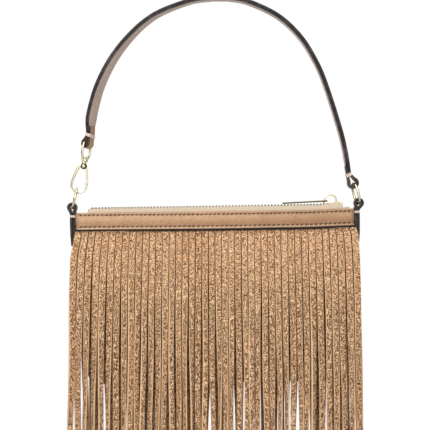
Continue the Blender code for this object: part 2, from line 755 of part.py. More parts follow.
def zip_slider(parent, material):
    """Two plates over and under the teeth, a web between them and the bail on top."""
    carriage = frame_at("slider_frame", (ZIP_RIGHT - SLIDER_PARK, 0.0, ZIP_RIDGE), 0.0, parent)
    top_middle = SEAT + SLIDER_PLATE / 2
    bottom_middle = -TOOTH_HEIGHT - SEAT - SLIDER_PLATE / 2
    body = plate("zip_slider", [slider_outline()], SLIDER_PLATE, material, carriage)
    body.location = (0.0, 0.0, top_middle)
    body = as_mesh(body)
    lower = plate("slider_lower_plate", [slider_outline()], SLIDER_PLATE, material, carriage)
    lower.location = (0.0, 0.0, bottom_middle)
    web = block("slider_web", (SLIDER_WEB_START, -SLIDER_WEB / 2, bottom_middle),
                (SLIDER_WEB_START + SLIDER_WEB_LENGTH, SLIDER_WEB / 2, top_middle), material, carriage)
    pivot = pull_pivot_height()
    bail = [(-BAIL_RADIUS, 0.0, top_middle)]
    bail += [(x, 0.0, z) for x, z in arc((0.0, pivot), BAIL_RADIUS, 180.0, 0.0, 16)]
    bail.append((BAIL_RADIUS, 0.0, top_middle))
    bail = wire("slider_bail", bail, BAIL_WIRE, material, carriage)
    for piece in (web, as_mesh(lower), as_mesh(bail)):
        combine(body, piece, "UNION")
    return carriage


def pull_pivot_height():
    """Middle of the bail's arc over the slider's frame."""
    return SEAT + SLIDER_PLATE + BAIL_RISE


def zip_pull(carriage, material):
    """A flat pull whose hole runs on the bail, lying along the zip."""
    pivot = frame_at("pull_pivot", (0.0, 0.0, pull_pivot_height()), -PULL_SLOPE, carriage)
    half = PULL_WIDTH / 2
    outline = arc((-BAIL_RADIUS, 0.0), half, -90.0, 90.0, 8)
    end = -BAIL_RADIUS - PULL_LENGTH
    outline += [(end + PULL_CORNER, half), (end, half - PULL_CORNER),
                (end, PULL_CORNER - half), (end + PULL_CORNER, -half)]
    hole = arc((-BAIL_RADIUS, 0.0), BAIL_WIRE + PULL_PLAY, 0.0, 330.0, 11)
    return plate("zip_pull", [outline, hole], PULL_THICK, material, pivot)


# Snap hook

def hook_eye(parent, material):
    """A D shaped wire whose bar runs in the strap's fold, with the swivel hub at its foot."""
    half, drop = EYE_HALF_WIDTH, HUB_DROP
    side = [(half - 1.2 * MM, 0.0), (half - 0.3 * MM, -0.5 * MM), (half, -1.6 * MM),
            (half, -drop * 0.62), (HUB_RADIUS + 1.2 * MM, -drop * 0.85),
            (HUB_RADIUS + 0.45 * MM, -drop), (HUB_RADIUS + 0.3 * MM, -drop - 0.7 * MM)]
    points = [(0.0, -y, z) for y, z in reversed(side)] + [(0.0, y, z) for y, z in side]
    eye = wire("hook_eye", points, EYE_WIRE, material, parent)
    eye.rotation_euler = (0.0, 0.0, -math.radians(STRAP_TWIST_LEFT))
    eye = as_mesh(eye)
    bore = STEM_RADIUS + SEAT
    half_height = HUB_HEIGHT / 2
    hub = turned("eye_hub", [(bore, half_height), (HUB_RADIUS, half_height),
                             (HUB_RADIUS, -half_height), (bore, -half_height),
                             (bore, half_height)], material, parent)
    hub.location = (0.0, 0.0, -HUB_DROP)
    combine(eye, as_mesh(hub), "UNION")
    return eye


def hook_frame(parent, material):
    """The hook: a pear shaped wire with a forked boss, a collar and a headed swivel stem."""
    hub_top = BOSS_DROP - HUB_DROP + HUB_HEIGHT / 2
    hub_foot = hub_top - HUB_HEIGHT
    back, nose, bowl, foot = HOOK_BACK, HOOK_NOSE, HOOK_BOWL, -GATE_LENGTH
    shape = [(-0.28 * back, 0.25 * BOSS_RADIUS), (-0.54 * back, -0.67 * BOSS_RADIUS),
             (-0.83 * back, 0.56 * foot), (-back, 0.97 * foot), (-0.94 * back, foot - 0.45 * bowl),
             (-0.61 * back, foot - 0.85 * bowl), (-0.14 * back, foot - bowl),
             (0.48 * nose, foot - 0.85 * bowl), (0.91 * nose, foot - 0.48 * bowl),
             (nose, foot - HOOK_NOSE_GAP)]
    knots = [Vector((x, 0.0, z)) for x, z in shape]
    hook = as_mesh(wire("hook_frame", smooth_route(knots, 2), HOOK_WIRE, material, parent))
    boss = turned("hook_boss", [(0.0, BOSS_DEPTH / 2), (BOSS_RADIUS, BOSS_DEPTH / 2),
                                (BOSS_RADIUS, -BOSS_DEPTH / 2), (0.0, -BOSS_DEPTH / 2)],
                  material, parent)
    boss.rotation_euler = (math.radians(90.0), 0.0, 0.0)
    seat, collar_foot = hub_top + SEAT, 0.7 * BOSS_RADIUS
    stem = turned("hook_stem", [(0.0, seat + STEM_DOME), (0.7 * STEM_HEAD, seat + STEM_DOME),
                                (STEM_HEAD, seat + 0.67 * STEM_DOME), (STEM_HEAD, seat),
                                (STEM_RADIUS, seat), (STEM_RADIUS, hub_foot - SEAT),
                                (STEM_HEAD, hub_foot - SEAT), (STEM_HEAD, collar_foot), (0.0, collar_foot)],
                  material, parent)
    for piece in (boss, stem):
        combine(hook, as_mesh(piece), "UNION")
    slot_half = GATE_THICK / 2 + SEAT
    eye_room = gate_eye_radius() + SEAT
    slot = block("gate_slot", (-eye_room, -slot_half, -2.0 * BOSS_RADIUS),
                 (2.0 * BOSS_RADIUS, slot_half, eye_room), material, parent)
    bore = turned("rivet_bore", [(0.0, BOSS_DEPTH), (RIVET_RADIUS + SEAT, BOSS_DEPTH),
                                 (RIVET_RADIUS + SEAT, -BOSS_DEPTH), (0.0, -BOSS_DEPTH)],
                  material, parent, 16)
    bore.rotation_euler = (math.radians(90.0), 0.0, 0.0)
    for cutter in (slot, as_mesh(bore)):
        combine(hook, cutter, "DIFFERENCE")
    return hook


def gate_eye_radius():
    """Outside of the gate's eye round the rivet."""
    return RIVET_RADIUS + SEAT + GATE_EYE


def hook_gate(parent, material):
    """The gate turns on the rivet and closes on the hook's nose, thicker at its catch."""
    outer = gate_eye_radius()
    foot, shoulder = -GATE_LENGTH, GATE_CATCH_HEIGHT - GATE_LENGTH
    catch_in, catch_out = HOOK_NOSE - GATE_CATCH_WIDTH / 2, HOOK_NOSE + GATE_CATCH_WIDTH / 2
    step = (GATE_CATCH_WIDTH - GATE_WIDTH) / 2
    outline = arc((0.0, 0.0), outer, 250.0, 40.0, 9)
    outline += [(1.2 * BOSS_RADIUS, -0.4 * GATE_WIDTH), (1.45 * BOSS_RADIUS, -2.0 * GATE_WIDTH),
                (catch_out - step, shoulder + 2 * step), (catch_out, shoulder),
                (catch_out, foot), (catch_in, foot), (catch_in, shoulder),
                (catch_in + step, shoulder + 2 * step), (1.45 * BOSS_RADIUS - GATE_WIDTH, -2.0 * GATE_WIDTH)]
    hole = arc((0.0, 0.0), RIVET_RADIUS + SEAT, 0.0, 330.0, 11)
    return plate("hook_gate", [outline, hole], GATE_THICK, material, parent, upright=True)


def gate_rivet(parent, material):
    """The rivet through the fork, with a head on each face."""
    face = BOSS_DEPTH / 2 + SEAT
    head = face + 0.5 * MM
    rivet = turned("gate_rivet", [(0.0, head), (0.8 * RIVET_HEAD, head), (RIVET_HEAD, face + 0.2 * MM),
                                  (RIVET_HEAD, face), (RIVET_RADIUS, face), (RIVET_RADIUS, -face),
                                  (RIVET_HEAD, -face), (RIVET_HEAD, -face - 0.2 * MM),
                                  (0.8 * RIVET_HEAD, -head), (0.0, -head)], material, parent, 16)
    rivet.rotation_euler = (math.radians(90.0), 0.0, 0.0)
    return rivet


def build_bag():
    """The bag hangs from its rings, a little out of level."""
    bag = frame_at("bag_frame", (BAG_SHIFT, 0.0, -STRAP_DROP), -BAG_TILT)
    leather, nap, dark = tan_leather("band_leather"), suede("suede"), dark_leather("tab_leather")
    gold = pale_gold("hardware")
    teeth = pale_gold("zip_teeth")
    cotton = finish("lining_cotton", (0.45, 0.38, 0.30), 0.9)
    tape = finish("zip_tape", (0.76, 0.64, 0.51), 0.85)
    for back, word in ((False, "front"), (True, "back")):
        top_band("top_band_" + word, back, bag, leather)
        pouch_sheet("pouch_" + word, back, 0.0, 0.0, POUCH_THICK, POUCH_COLUMNS, bag, nap)
        inset = (POUCH_THICK + LINING_THICK) / 2 + SEAT
        pouch_sheet("lining_" + word, back, inset + LINING_SIDE_INSET, inset + LINING_DEPTH_INSET,
                    LINING_THICK, LINING_COLUMNS, bag, cotton)
        fringe("fringe_" + word, back, bag, nap, FRINGE_BACK_SEED if back else FRINGE_FRONT_SEED)
        zip_teeth("zip_teeth_" + word, back, bag, teeth)
        zip_tape("zip_tape_" + word, back, bag, tape)
    zip_stop("zip_stop_left", ZIP_LEFT - SEAT - STOP_LENGTH, bag, gold)
    zip_stop("zip_stop_right", ZIP_RIGHT + SEAT, bag, gold)
    for side, word in ((-1, "left"), (1, "right")):
        side_tab("side_tab_" + word, side, bag, dark)
        ring("ring_" + word, side, bag, gold)
    carriage = zip_slider(bag, gold)
    zip_pull(carriage, gold)


def build_strap():
    """The strap carries everything. Its left end carries the snap hook."""
    dark = dark_leather("strap_leather")
    pale = finish("strap_lining", (0.52, 0.41, 0.36), 0.8)
    gold = pale_gold("hook_metal")
    strap_outer(None, dark)
    strap_lining(None, pale)
    eye_frame = frame_at("eye_pivot", eye_place(), EYE_LEAN)
    hook_eye(eye_frame, gold)
    hook_pivot = frame_at("hook_pivot", (0.0, 0.0, -BOSS_DROP), 0.0, eye_frame)
    hook_frame(hook_pivot, gold)
    hook_gate(hook_pivot, gold)
    gate_rivet(hook_pivot, gold)


clear_scene()
build_strap()
build_bag()
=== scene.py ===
import json
import math
import random

import bmesh
import bpy
from mathutils import Matrix, Vector


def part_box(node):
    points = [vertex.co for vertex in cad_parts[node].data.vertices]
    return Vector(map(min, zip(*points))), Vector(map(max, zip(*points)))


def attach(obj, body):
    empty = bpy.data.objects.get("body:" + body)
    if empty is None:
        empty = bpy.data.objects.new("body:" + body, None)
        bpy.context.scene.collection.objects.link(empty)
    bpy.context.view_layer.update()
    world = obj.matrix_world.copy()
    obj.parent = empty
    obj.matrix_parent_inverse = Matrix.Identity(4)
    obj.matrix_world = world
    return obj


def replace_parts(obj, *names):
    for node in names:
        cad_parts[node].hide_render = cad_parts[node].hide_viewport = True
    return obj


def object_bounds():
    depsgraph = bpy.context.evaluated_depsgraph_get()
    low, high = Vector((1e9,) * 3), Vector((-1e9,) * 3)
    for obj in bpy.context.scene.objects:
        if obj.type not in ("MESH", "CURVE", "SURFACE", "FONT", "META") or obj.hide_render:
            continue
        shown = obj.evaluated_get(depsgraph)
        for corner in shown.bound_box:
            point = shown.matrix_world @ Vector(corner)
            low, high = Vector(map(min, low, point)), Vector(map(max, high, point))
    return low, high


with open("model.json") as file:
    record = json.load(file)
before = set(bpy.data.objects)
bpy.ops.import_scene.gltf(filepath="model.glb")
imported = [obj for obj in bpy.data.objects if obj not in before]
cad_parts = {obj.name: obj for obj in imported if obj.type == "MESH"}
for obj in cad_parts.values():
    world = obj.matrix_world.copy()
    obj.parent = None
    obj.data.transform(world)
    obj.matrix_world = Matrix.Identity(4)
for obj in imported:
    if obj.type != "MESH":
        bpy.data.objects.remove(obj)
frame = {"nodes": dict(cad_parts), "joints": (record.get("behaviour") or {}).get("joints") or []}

# Looks of the fringed suede bag. Metres, +Z up, -Y is the front.
# Bag pieces are drawn in the bag's own level frame and then turned with it.

loadedLow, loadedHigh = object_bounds()
joints = {row["name"]: row for row in frame["joints"]}
bagOrigin = Vector(joints["bag_swing"]["pos_m"])
bagAxis = Vector(joints["bag_swing"]["axis"])
bagTilt = math.atan2(bagAxis.z, bagAxis.x)
bagFrame = Matrix.Translation(bagOrigin) @ Matrix.Rotation(-bagTilt, 4, "Y")
levelFrame = Matrix.Identity(4)
mm = 0.001


def boxInBag(node):  # lowest and highest corner of a CAD node in the bag's level frame
    back = bagFrame.inverted()
    points = [back @ vert.co for vert in frame["nodes"][node].data.vertices]
    low = Vector([min(point[axis] for point in points) for axis in range(3)])
    high = Vector([max(point[axis] for point in points) for axis in range(3)])
    return low, high


def colour(red, green, blue):  # screen colour, 0 to 255, as Blender's linear colour
    def channel(value):
        share = value / 255.0
        return share / 12.92 if share <= 0.04045 else ((share + 0.055) / 1.055) ** 2.4
    return (channel(red), channel(green), channel(blue), 1.0)


# Mesh helpers

def ease(value, start, end):  # 0 before start, 1 after end, smooth between
    share = min(max((value - start) / (end - start), 0.0), 1.0)
    return share * share * (3.0 - 2.0 * share)


def arc(centre, radius, start, end, steps):  # points of a flat arc, angles in degrees
    points = []
    for step in range(steps + 1):
        angle = math.radians(start + (end - start) * step / steps)
        points.append((centre[0] + radius * math.cos(angle), centre[1] + radius * math.sin(angle)))
    return points


def smoothRoute(points, perSpan, closed=False):  # a smooth curve through the points, as closer points
    count = len(points)
    if closed:
        knots = [points[-1]] + list(points) + [points[0], points[1]]
    else:
        knots = [2 * points[0] - points[1]] + list(points) + [2 * points[-1] - points[-2]]
    route = []
    for i in range(1, count + 1 if closed else count):
        before, start, end, after = knots[i - 1:i + 3]
        for step in range(perSpan):
            t = step / perSpan
            route.append(0.5 * ((2 * start) + (end - before) * t
                                + (2 * before - 5 * start + 4 * end - after) * t ** 2
                                + (3 * start - before - 3 * end + after) * t ** 3))
    if not closed:
        route.append(points[-1].copy())
    return route


class Shape:  # gathers rings and faces of one piece, with a tone and a highlight-and-darkening value at each point: painted highlight on leather, darkening on suede
    def __init__(self):
        self.points, self.faces, self.kinds, self.tones, self.highlightAndDarkeningValues = [], [], [], [], []

    def loft(self, rings, kind=0, tone=0.5, highlightAndDarkening=None, closed=False):
        start, size = len(self.points), len(rings[0])
        for i, ring in enumerate(rings):
            for j, point in enumerate(ring):
                self.points.append(tuple(point))
                self.tones.append(tone(i, j) if callable(tone) else tone)
                self.highlightAndDarkeningValues.append(highlightAndDarkening(i, j) if highlightAndDarkening else 0.0)
        last = len(rings) if closed else len(rings) - 1
        for i in range(last):
            after = (i + 1) % len(rings)
            for j in range(size):
                beside = (j + 1) % size
                self.faces.append((start + i * size + j, start + i * size + beside,
                                   start + after * size + beside, start + after * size + j))
                self.kinds.append(kind(i, j) if callable(kind) else kind)
        if not closed:  # both ends get a face
            for ring, turn in ((0, -1), (len(rings) - 1, 1)):
                face = [start + ring * size + j for j in range(size)]
                self.faces.append(tuple(face[::turn]))
                self.kinds.append(kind(min(ring, len(rings) - 2), 0) if callable(kind) else kind)

    def make(self, name, materials, matrix):
        mesh = bpy.data.meshes.new(name)
        mesh.from_pydata(self.points, [], self.faces)
        for material in materials:
            mesh.materials.append(material)
        mesh.polygons.foreach_set("material_index", self.kinds)
        mesh.polygons.foreach_set("use_smooth", [True] * len(self.faces))
        for word, values in (("tone", self.tones), ("highlightAndDarkening", self.highlightAndDarkeningValues)):
            mesh.attributes.new(word, "FLOAT", "POINT").data.foreach_set("value", values)
        mesh.update()
        obj = bpy.data.objects.new(name, mesh)
        bpy.context.scene.collection.objects.link(obj)
        obj.matrix_world = matrix
        return turnOutwards(obj)


def turnOutwards(obj):  # every closed shell of the mesh faces out
    shell = bmesh.new()
    shell.from_mesh(obj.data)
    bmesh.ops.recalc_face_normals(shell, faces=shell.faces)
    shell.to_mesh(obj.data)
    shell.free()
    return obj


def tubeRings(points, radius, sides=14, closed=False):  # rings of a round wire
    rings, count = [], len(points)
    side = None
    for i, point in enumerate(points):
        before = points[i - 1] if i or closed else point
        after = points[(i + 1) % count] if i + 1 < count or closed else point
        tangent = (after - before).normalized()
        if side is None:
            helper = Vector((0, 0, 1)) if abs(tangent.z) < 0.9 else Vector((1, 0, 0))
            side = tangent.cross(helper).normalized()
        side = (side - tangent * side.dot(tangent)).normalized()
        up = tangent.cross(side)
        size = radius(i / (count - 1)) if callable(radius) else radius
        rings.append((point, side.copy(), up, tangent, size))
    made = [ringAround(point, side, up, size, sides) for point, side, up, _, size in rings]
    if closed:
        return made
    starts, ends = [], []
    for angle in (75, 50, 25):
        share, reach = math.cos(math.radians(angle)), math.sin(math.radians(angle))
        point, side, up, tangent, size = rings[0]
        starts.append(ringAround(point - tangent * size * reach * 0.6, side, up, size * share, sides))
        point, side, up, tangent, size = rings[-1]
        ends.insert(0, ringAround(point + tangent * size * reach * 0.6, side, up, size * share, sides))
    return starts + made + ends


def ringAround(point, side, up, size, sides):
    ring = []
    for step in range(sides):
        angle = 2 * math.pi * step / sides
        ring.append(point + side * size * math.cos(angle) + up * size * math.sin(angle))
    return ring


def ribbonRings(stations, roundness=0.35, corner=3):  # stations: point, across, normal, width, thick
    rings = []
    for point, across, normal, width, thick in stations:
        radius = thick * roundness
        ring = []
        for sideways, up, start in ((1, 1, 0), (-1, 1, 90), (-1, -1, 180), (1, -1, 270)):
            middle = point + across * sideways * (width / 2 - radius) + normal * up * (thick / 2 - radius)
            for step in range(corner + 1):
                angle = math.radians(start + 90 * step / corner)
                ring.append(middle + across * radius * math.cos(angle) + normal * radius * math.sin(angle))
        rings.append(ring)
    return rings


def turnedRings(profile, axis, side, centre, sides=28):  # a profile of (radius, height) turned about an axis
    up = axis.cross(side)
    return [ringAround(centre + axis * height, side, up, max(radius, 1e-6), sides)
            for radius, height in profile]


def roundedPlate(name, outlines, thick, bevel, materials, matrix):  # an outline with its holes
    curve = bpy.data.curves.new(name + "Outline", "CURVE")
    curve.dimensions = "2D"
    curve.fill_mode = "BOTH"
    curve.extrude = thick / 2 - bevel
    curve.bevel_depth = bevel
    curve.bevel_resolution = 3
    curve.offset = -bevel
    for outline in outlines:
        spline = curve.splines.new("POLY")
        spline.points.add(len(outline) - 1)
        for knot, (x, y) in zip(spline.points, outline):
            knot.co = (x, y, 0.0, 1.0)
        spline.use_cyclic_u = True
    drawn = bpy.data.objects.new(name + "Drawn", curve)
    bpy.context.scene.collection.objects.link(drawn)
    bpy.context.view_layer.update()
    mesh = bpy.data.meshes.new_from_object(drawn.evaluated_get(bpy.context.evaluated_depsgraph_get()))
    bpy.data.objects.remove(drawn)
    mesh.name = name
    mesh.materials.clear()
    for material in materials:
        mesh.materials.append(material)
    obj = bpy.data.objects.new(name, mesh)
    bpy.context.scene.collection.objects.link(obj)
    obj.matrix_world = matrix
    weld = obj.modifiers.new("weld", "WELD")
    weld.merge_threshold = 0.00001
    mesh.shade_smooth()
    mesh.set_sharp_from_angle(angle=math.radians(50.0))
    return obj


def seat(obj, body, finishSlot, *nodes):  # ride a body and stand for CAD nodes; the finish slot is not used
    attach(obj, body)
    if nodes:
        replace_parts(obj, *nodes)
    return obj


# Finishes

def newFinish(name, roughness=0.5, metallic=0.0):
    material = bpy.data.materials.new(name)
    material.use_nodes = True
    shader = material.node_tree.nodes["Principled BSDF"]
    shader.inputs["Roughness"].default_value = roughness
    shader.inputs["Metallic"].default_value = metallic
    return material, material.node_tree, shader


def pieceCoordinates(tree, scale=(1.0, 1.0, 1.0)):  # the piece's own coordinates, stretched
    source = tree.nodes.new("ShaderNodeTexCoord")
    mapping = tree.nodes.new("ShaderNodeMapping")
    mapping.inputs["Scale"].default_value = scale
    tree.links.new(source.outputs["Object"], mapping.inputs["Vector"])
    return mapping.outputs["Vector"]


def noise(tree, coordinates, scale, detail=3.0, roughness=0.6):
    node = tree.nodes.new("ShaderNodeTexNoise")
    node.inputs["Scale"].default_value = scale
    node.inputs["Detail"].default_value = detail
    node.inputs["Roughness"].default_value = roughness
    tree.links.new(coordinates, node.inputs["Vector"])
    return node.outputs["Fac"]


def attribute(tree, word):
    node = tree.nodes.new("ShaderNodeAttribute")
    node.attribute_name = word
    return node.outputs["Fac"]


def ramp(tree, value, low, high):  # stretches low..high to 0..1
    node = tree.nodes.new("ShaderNodeMapRange")
    node.inputs["From Min"].default_value = low
    node.inputs["From Max"].default_value = high
    tree.links.new(value, node.inputs["Value"])
    return node.outputs["Result"]


def mixed(tree, share, first, second):  # a colour between two colours or sockets
    node = tree.nodes.new("ShaderNodeMix")
    node.data_type = "RGBA"
    for socket, value in (("A", first), ("B", second)):
        target = [item for item in node.inputs if item.name == socket and item.type == "RGBA"][0]
        if isinstance(value, tuple):
            target.default_value = value
        else:
            tree.links.new(value, target)
    factor = [item for item in node.inputs if item.name == "Factor" and item.type == "VALUE"][0]
    tree.links.new(share, factor)
    return [item for item in node.outputs if item.type == "RGBA"][0]


def mathNode(tree, operation, first, second):
    node = tree.nodes.new("ShaderNodeMath")
    node.operation = operation
    for socket, value in zip(node.inputs, (first, second)):
        if isinstance(value, (int, float)):
            socket.default_value = value
        else:
            tree.links.new(value, socket)
    return node.outputs["Value"]


def bump(tree, shader, height, strength, distance):
    node = tree.nodes.new("ShaderNodeBump")
    node.inputs["Strength"].default_value = strength
    node.inputs["Distance"].default_value = distance
    tree.links.new(height, node.inputs["Height"])
    tree.links.new(node.outputs["Normal"], shader.inputs["Normal"])


suedeLook = {"grain": 980.0, "fleck": 1300.0, "streak": 420.0, "patches": 55.0, "fuzz": 2600.0,
             "grainShare": 0.96, "fleckShare": 0.9, "streakShare": 0.2, "patchShare": 0.22, "darkeningShare": 0.55,
             "grainDark": colour(66, 35, 17), "fleckPale": colour(255, 214, 170),
             "streakDark": colour(120, 84, 56), "rubbedPale": colour(226, 192, 156),
             "darkeningTint": colour(104, 64, 34), "sheen": 0.08, "sheenTint": colour(236, 208, 178),
             "napDepth": 0.22 * mm, "napStrength": 0.6}


def suedeFinish(name, rosy, brown, depth=1.0):  # speckled nap, darker where the darkening value grows
    look = suedeLook
    material, tree, shader = newFinish(name, roughness=0.95)
    coordinates = pieceCoordinates(tree)
    flecked, streaky = pieceCoordinates(tree, (1.0, 1.0, 0.8)), pieceCoordinates(tree, (1.0, 1.0, 0.16))
    grain = ramp(tree, noise(tree, coordinates, look["grain"], 2.0, 0.5), 0.41, 0.59)
    fleck = ramp(tree, noise(tree, flecked, look["fleck"], 1.0, 0.5), 0.5, 0.59)
    streak = ramp(tree, noise(tree, streaky, look["streak"], 2.0), 0.3, 0.7)
    patches = ramp(tree, noise(tree, coordinates, look["patches"], 2.0), 0.3, 0.7)
    shade = mixed(tree, attribute(tree, "tone"), rosy, brown)
    for layer, share, tint in ((patches, look["patchShare"], look["rubbedPale"]),
                               (streak, look["streakShare"], look["streakDark"]),
                               (attribute(tree, "highlightAndDarkening"), look["darkeningShare"] * depth, look["darkeningTint"]),
                               (grain, look["grainShare"] * depth, look["grainDark"]),
                               (fleck, look["fleckShare"] * depth, look["fleckPale"])):
        shade = mixed(tree, mathNode(tree, "MULTIPLY", layer, share), shade, tint)
    tree.links.new(shade, shader.inputs["Base Color"])
    shader.inputs["Sheen Weight"].default_value = look["sheen"]
    shader.inputs["Sheen Roughness"].default_value = 0.6
    shader.inputs["Sheen Tint"].default_value = look["sheenTint"]
    shader.inputs["Specular IOR Level"].default_value = 0.1
    fuzz = mathNode(tree, "MULTIPLY", noise(tree, coordinates, look["fuzz"], 4.0, 0.7), 0.7)
    bump(tree, shader, mathNode(tree, "SUBTRACT", fuzz, grain), look["napStrength"], look["napDepth"])
    return material


leatherLook = {"clouds": 45.0, "pores": 2400.0, "mottle": 620.0, "cells": 1500.0, "mottleShare": 0.34,
               "shadeShare": 0.5, "highlightPale": colour(250, 216, 174), "coat": 0.08, "poreDepth": 0.12 * mm}


def smoothLeatherFinish(name, base, light, dark):  # painted highlight where the highlight value grows, darker where the tone value grows, which on the top band is painted shade
    look = leatherLook
    material, tree, shader = newFinish(name)
    coordinates = pieceCoordinates(tree)
    clouds = ramp(tree, noise(tree, coordinates, look["clouds"], 3.0), 0.25, 0.75)
    pores = noise(tree, coordinates, look["pores"], 2.0)
    mottle = ramp(tree, noise(tree, coordinates, look["mottle"], 3.0, 0.6), 0.34, 0.66)
    shade = mixed(tree, ramp(tree, pores, 0.62, 1.3), mixed(tree, clouds, base, light), dark)
    # painted highlight: pale leather colour where the light catches an edge
    shade = mixed(tree, attribute(tree, "highlightAndDarkening"), shade, look["highlightPale"])
    shade = mixed(tree, mathNode(tree, "MULTIPLY", mottle, look["mottleShare"]), shade, dark)
    # painted shade on the top band, carried by its tone value
    shade = mixed(tree, mathNode(tree, "MULTIPLY", attribute(tree, "tone"), look["shadeShare"]), shade, dark)
    tree.links.new(shade, shader.inputs["Base Color"])
    cells = tree.nodes.new("ShaderNodeTexVoronoi")
    cells.inputs["Scale"].default_value = look["cells"]
    tree.links.new(coordinates, cells.inputs["Vector"])
    tree.links.new(ramp(tree, clouds, -2.2, 4.0), shader.inputs["Roughness"])
    shader.inputs["Coat Weight"].default_value = look["coat"]
    shader.inputs["Coat Roughness"].default_value = 0.35
    height = mathNode(tree, "ADD", cells.outputs["Distance"], mathNode(tree, "MULTIPLY", pores, 0.5))
    bump(tree, shader, height, 0.18, look["poreDepth"])
    return material


paintLook = {"lumps": 500.0, "rubbed": 130.0, "lumpDepth": 0.2 * mm}


def edgePaintFinish(name, base, light):  # thick paint on cut leather, rubbed pale in places
    material, tree, shader = newFinish(name, 0.5)
    shader.inputs["Specular IOR Level"].default_value = 0.3
    coordinates = pieceCoordinates(tree)
    lumps = noise(tree, coordinates, paintLook["lumps"], 3.0)
    rubbed = ramp(tree, noise(tree, coordinates, paintLook["rubbed"], 3.0), 0.5, 0.85)
    tree.links.new(mixed(tree, rubbed, base, light), shader.inputs["Base Color"])
    bump(tree, shader, lumps, 0.35, paintLook["lumpDepth"])
    return material


threadLook = {"ply": 900.0, "unevenness": 1.5, "plyDepth": 0.1 * mm}


def threadFinish(name, base, light):  # slanted plies of sewing thread
    material, tree, shader = newFinish(name, 0.7)
    ply = tree.nodes.new("ShaderNodeTexWave")
    ply.bands_direction = "DIAGONAL"
    ply.inputs["Scale"].default_value = threadLook["ply"]
    ply.inputs["Distortion"].default_value = threadLook["unevenness"]
    tree.links.new(pieceCoordinates(tree), ply.inputs["Vector"])
    tree.links.new(mixed(tree, ply.outputs["Fac"], base, light), shader.inputs["Base Color"])
    shader.inputs["Sheen Weight"].default_value = 0.2
    bump(tree, shader, ply.outputs["Fac"], 0.5, threadLook["plyDepth"])
    return material


clothLook = {"tapeWeave": 620.0, "cottonWeave": 900.0, "mottle": 300.0, "mottleShare": 0.3,
             "weaveDepth": 0.15 * mm}


def wovenFinish(name, base, shade, scale):  # tape or plain cotton, from two crossed waves
    material, tree, shader = newFinish(name, 0.85)
    coordinates = pieceCoordinates(tree)
    heights = []
    for direction in ("X", "DIAGONAL"):
        wave = tree.nodes.new("ShaderNodeTexWave")
        wave.bands_direction = direction
        wave.inputs["Scale"].default_value = scale
        wave.inputs["Distortion"].default_value = 0.4
        tree.links.new(coordinates, wave.inputs["Vector"])
        heights.append(wave.outputs["Fac"])
    weave = mathNode(tree, "MULTIPLY", heights[0], heights[1])
    mottle = ramp(tree, noise(tree, coordinates, clothLook["mottle"], 3.0), 0.2, 0.9)
    cloth = mixed(tree, weave, shade, base)
    soiled = mixed(tree, mathNode(tree, "MULTIPLY", mottle, clothLook["mottleShare"]), cloth, shade)
    tree.links.new(soiled, shader.inputs["Base Color"])
    shader.inputs["Sheen Weight"].default_value = 0.15
    bump(tree, shader, weave, 0.5, clothLook["weaveDepth"])
    return material


metalLook = {"clouds": 220.0, "cloudShare": 0.4, "scratches": 1800.0, "scratchDepth": 0.05 * mm}


def metalFinish(name, base, dark, roughness=0.2):  # plated metal, a little cloudy, finely scratched
    material, tree, shader = newFinish(name, roughness, 1.0)
    clouds = ramp(tree, noise(tree, pieceCoordinates(tree), metalLook["clouds"], 3.0), 0.3, 0.8)
    plated = mixed(tree, mathNode(tree, "MULTIPLY", clouds, metalLook["cloudShare"]), base, dark)
    tree.links.new(plated, shader.inputs["Base Color"])
    tree.links.new(ramp(tree, clouds, -0.12 / roughness, 4.5), shader.inputs["Roughness"])
    scratches = noise(tree, pieceCoordinates(tree, (1.0, 1.0, 0.1)), metalLook["scratches"], 2.0)
    bump(tree, shader, scratches, 0.06, metalLook["scratchDepth"])
    return material


suede = suedeFinish("fringeSuede", colour(243, 183, 138), colour(203, 143, 92))
# painted highlight: pale suede for the cut edges and bevelled rims that catch the light
suedeEdgeHighlight = suedeFinish("suedeEdgePaintedHighlight", colour(255, 220, 176), colour(250, 204, 154), 0.15)
# painted shade: the same suede made dark brown where it lies in shadow behind and between the strips
shadedSuede = suedeFinish("suedePaintedShade", colour(78, 50, 32), colour(58, 36, 22), 0.5)
bandLeather = smoothLeatherFinish("bandLeather", colour(178, 133, 93), colour(208, 164, 123),
                                  colour(128, 88, 58))
strapLeather = smoothLeatherFinish("strapLeather", colour(174, 136, 102), colour(198, 160, 126),
                                   colour(128, 94, 66))
liningLeather = smoothLeatherFinish("strapInnerLeather", colour(188, 165, 150), colour(206, 186, 172),
                                    colour(150, 126, 112))
bandPaint = edgePaintFinish("bandEdgePaint", colour(22, 13, 8), colour(54, 40, 30))
edgePaint = edgePaintFinish("strapEdgePaint", colour(42, 36, 36), colour(92, 86, 86))
darkThread = threadFinish("brownThread", colour(40, 26, 16), colour(74, 52, 34))
paleThread = threadFinish("palePinkThread", colour(214, 190, 172), colour(236, 218, 204))
tapeCloth = wovenFinish("zipTapeCloth", colour(236, 220, 198), colour(206, 186, 160), clothLook["tapeWeave"])
liningCloth = wovenFinish("liningCotton", colour(178, 158, 134), colour(140, 122, 102),
                          clothLook["cottonWeave"])
paleGold = metalFinish("paleGold", colour(234, 224, 190), colour(190, 172, 118))
zipGold = metalFinish("antiqueGold", colour(122, 104, 62), colour(70, 58, 30), 0.3)
# painted shade: a dark gold for the fork's cheeks, the shadow ring round the rivet head
shadedGold = metalFinish("goldPaintedShade", colour(70, 62, 46), colour(40, 34, 24), 0.32)
print("finishes done")


# The bag's plan: a rounded oblong, as a path from the left side seam round the front to the right one

bandLow, bandHigh = boxInBag("top_band_front")
plan = {"halfWidth": (bandHigh.x - bandLow.x) / 2, "halfDepth": -bandLow.y, "corner": 4.0 * mm,
        "seamGap": 0.15 * mm, "bandTop": bandHigh.z, "bandBottom": bandLow.z, "sag": 0.75 * mm}


def sag(x):  # how far the soft top hangs down between its ends
    share = x / plan["halfWidth"]
    return plan["sag"] * ease(share, -1.0, 0.1) * (1.0 - ease(share, 0.62, 1.0))


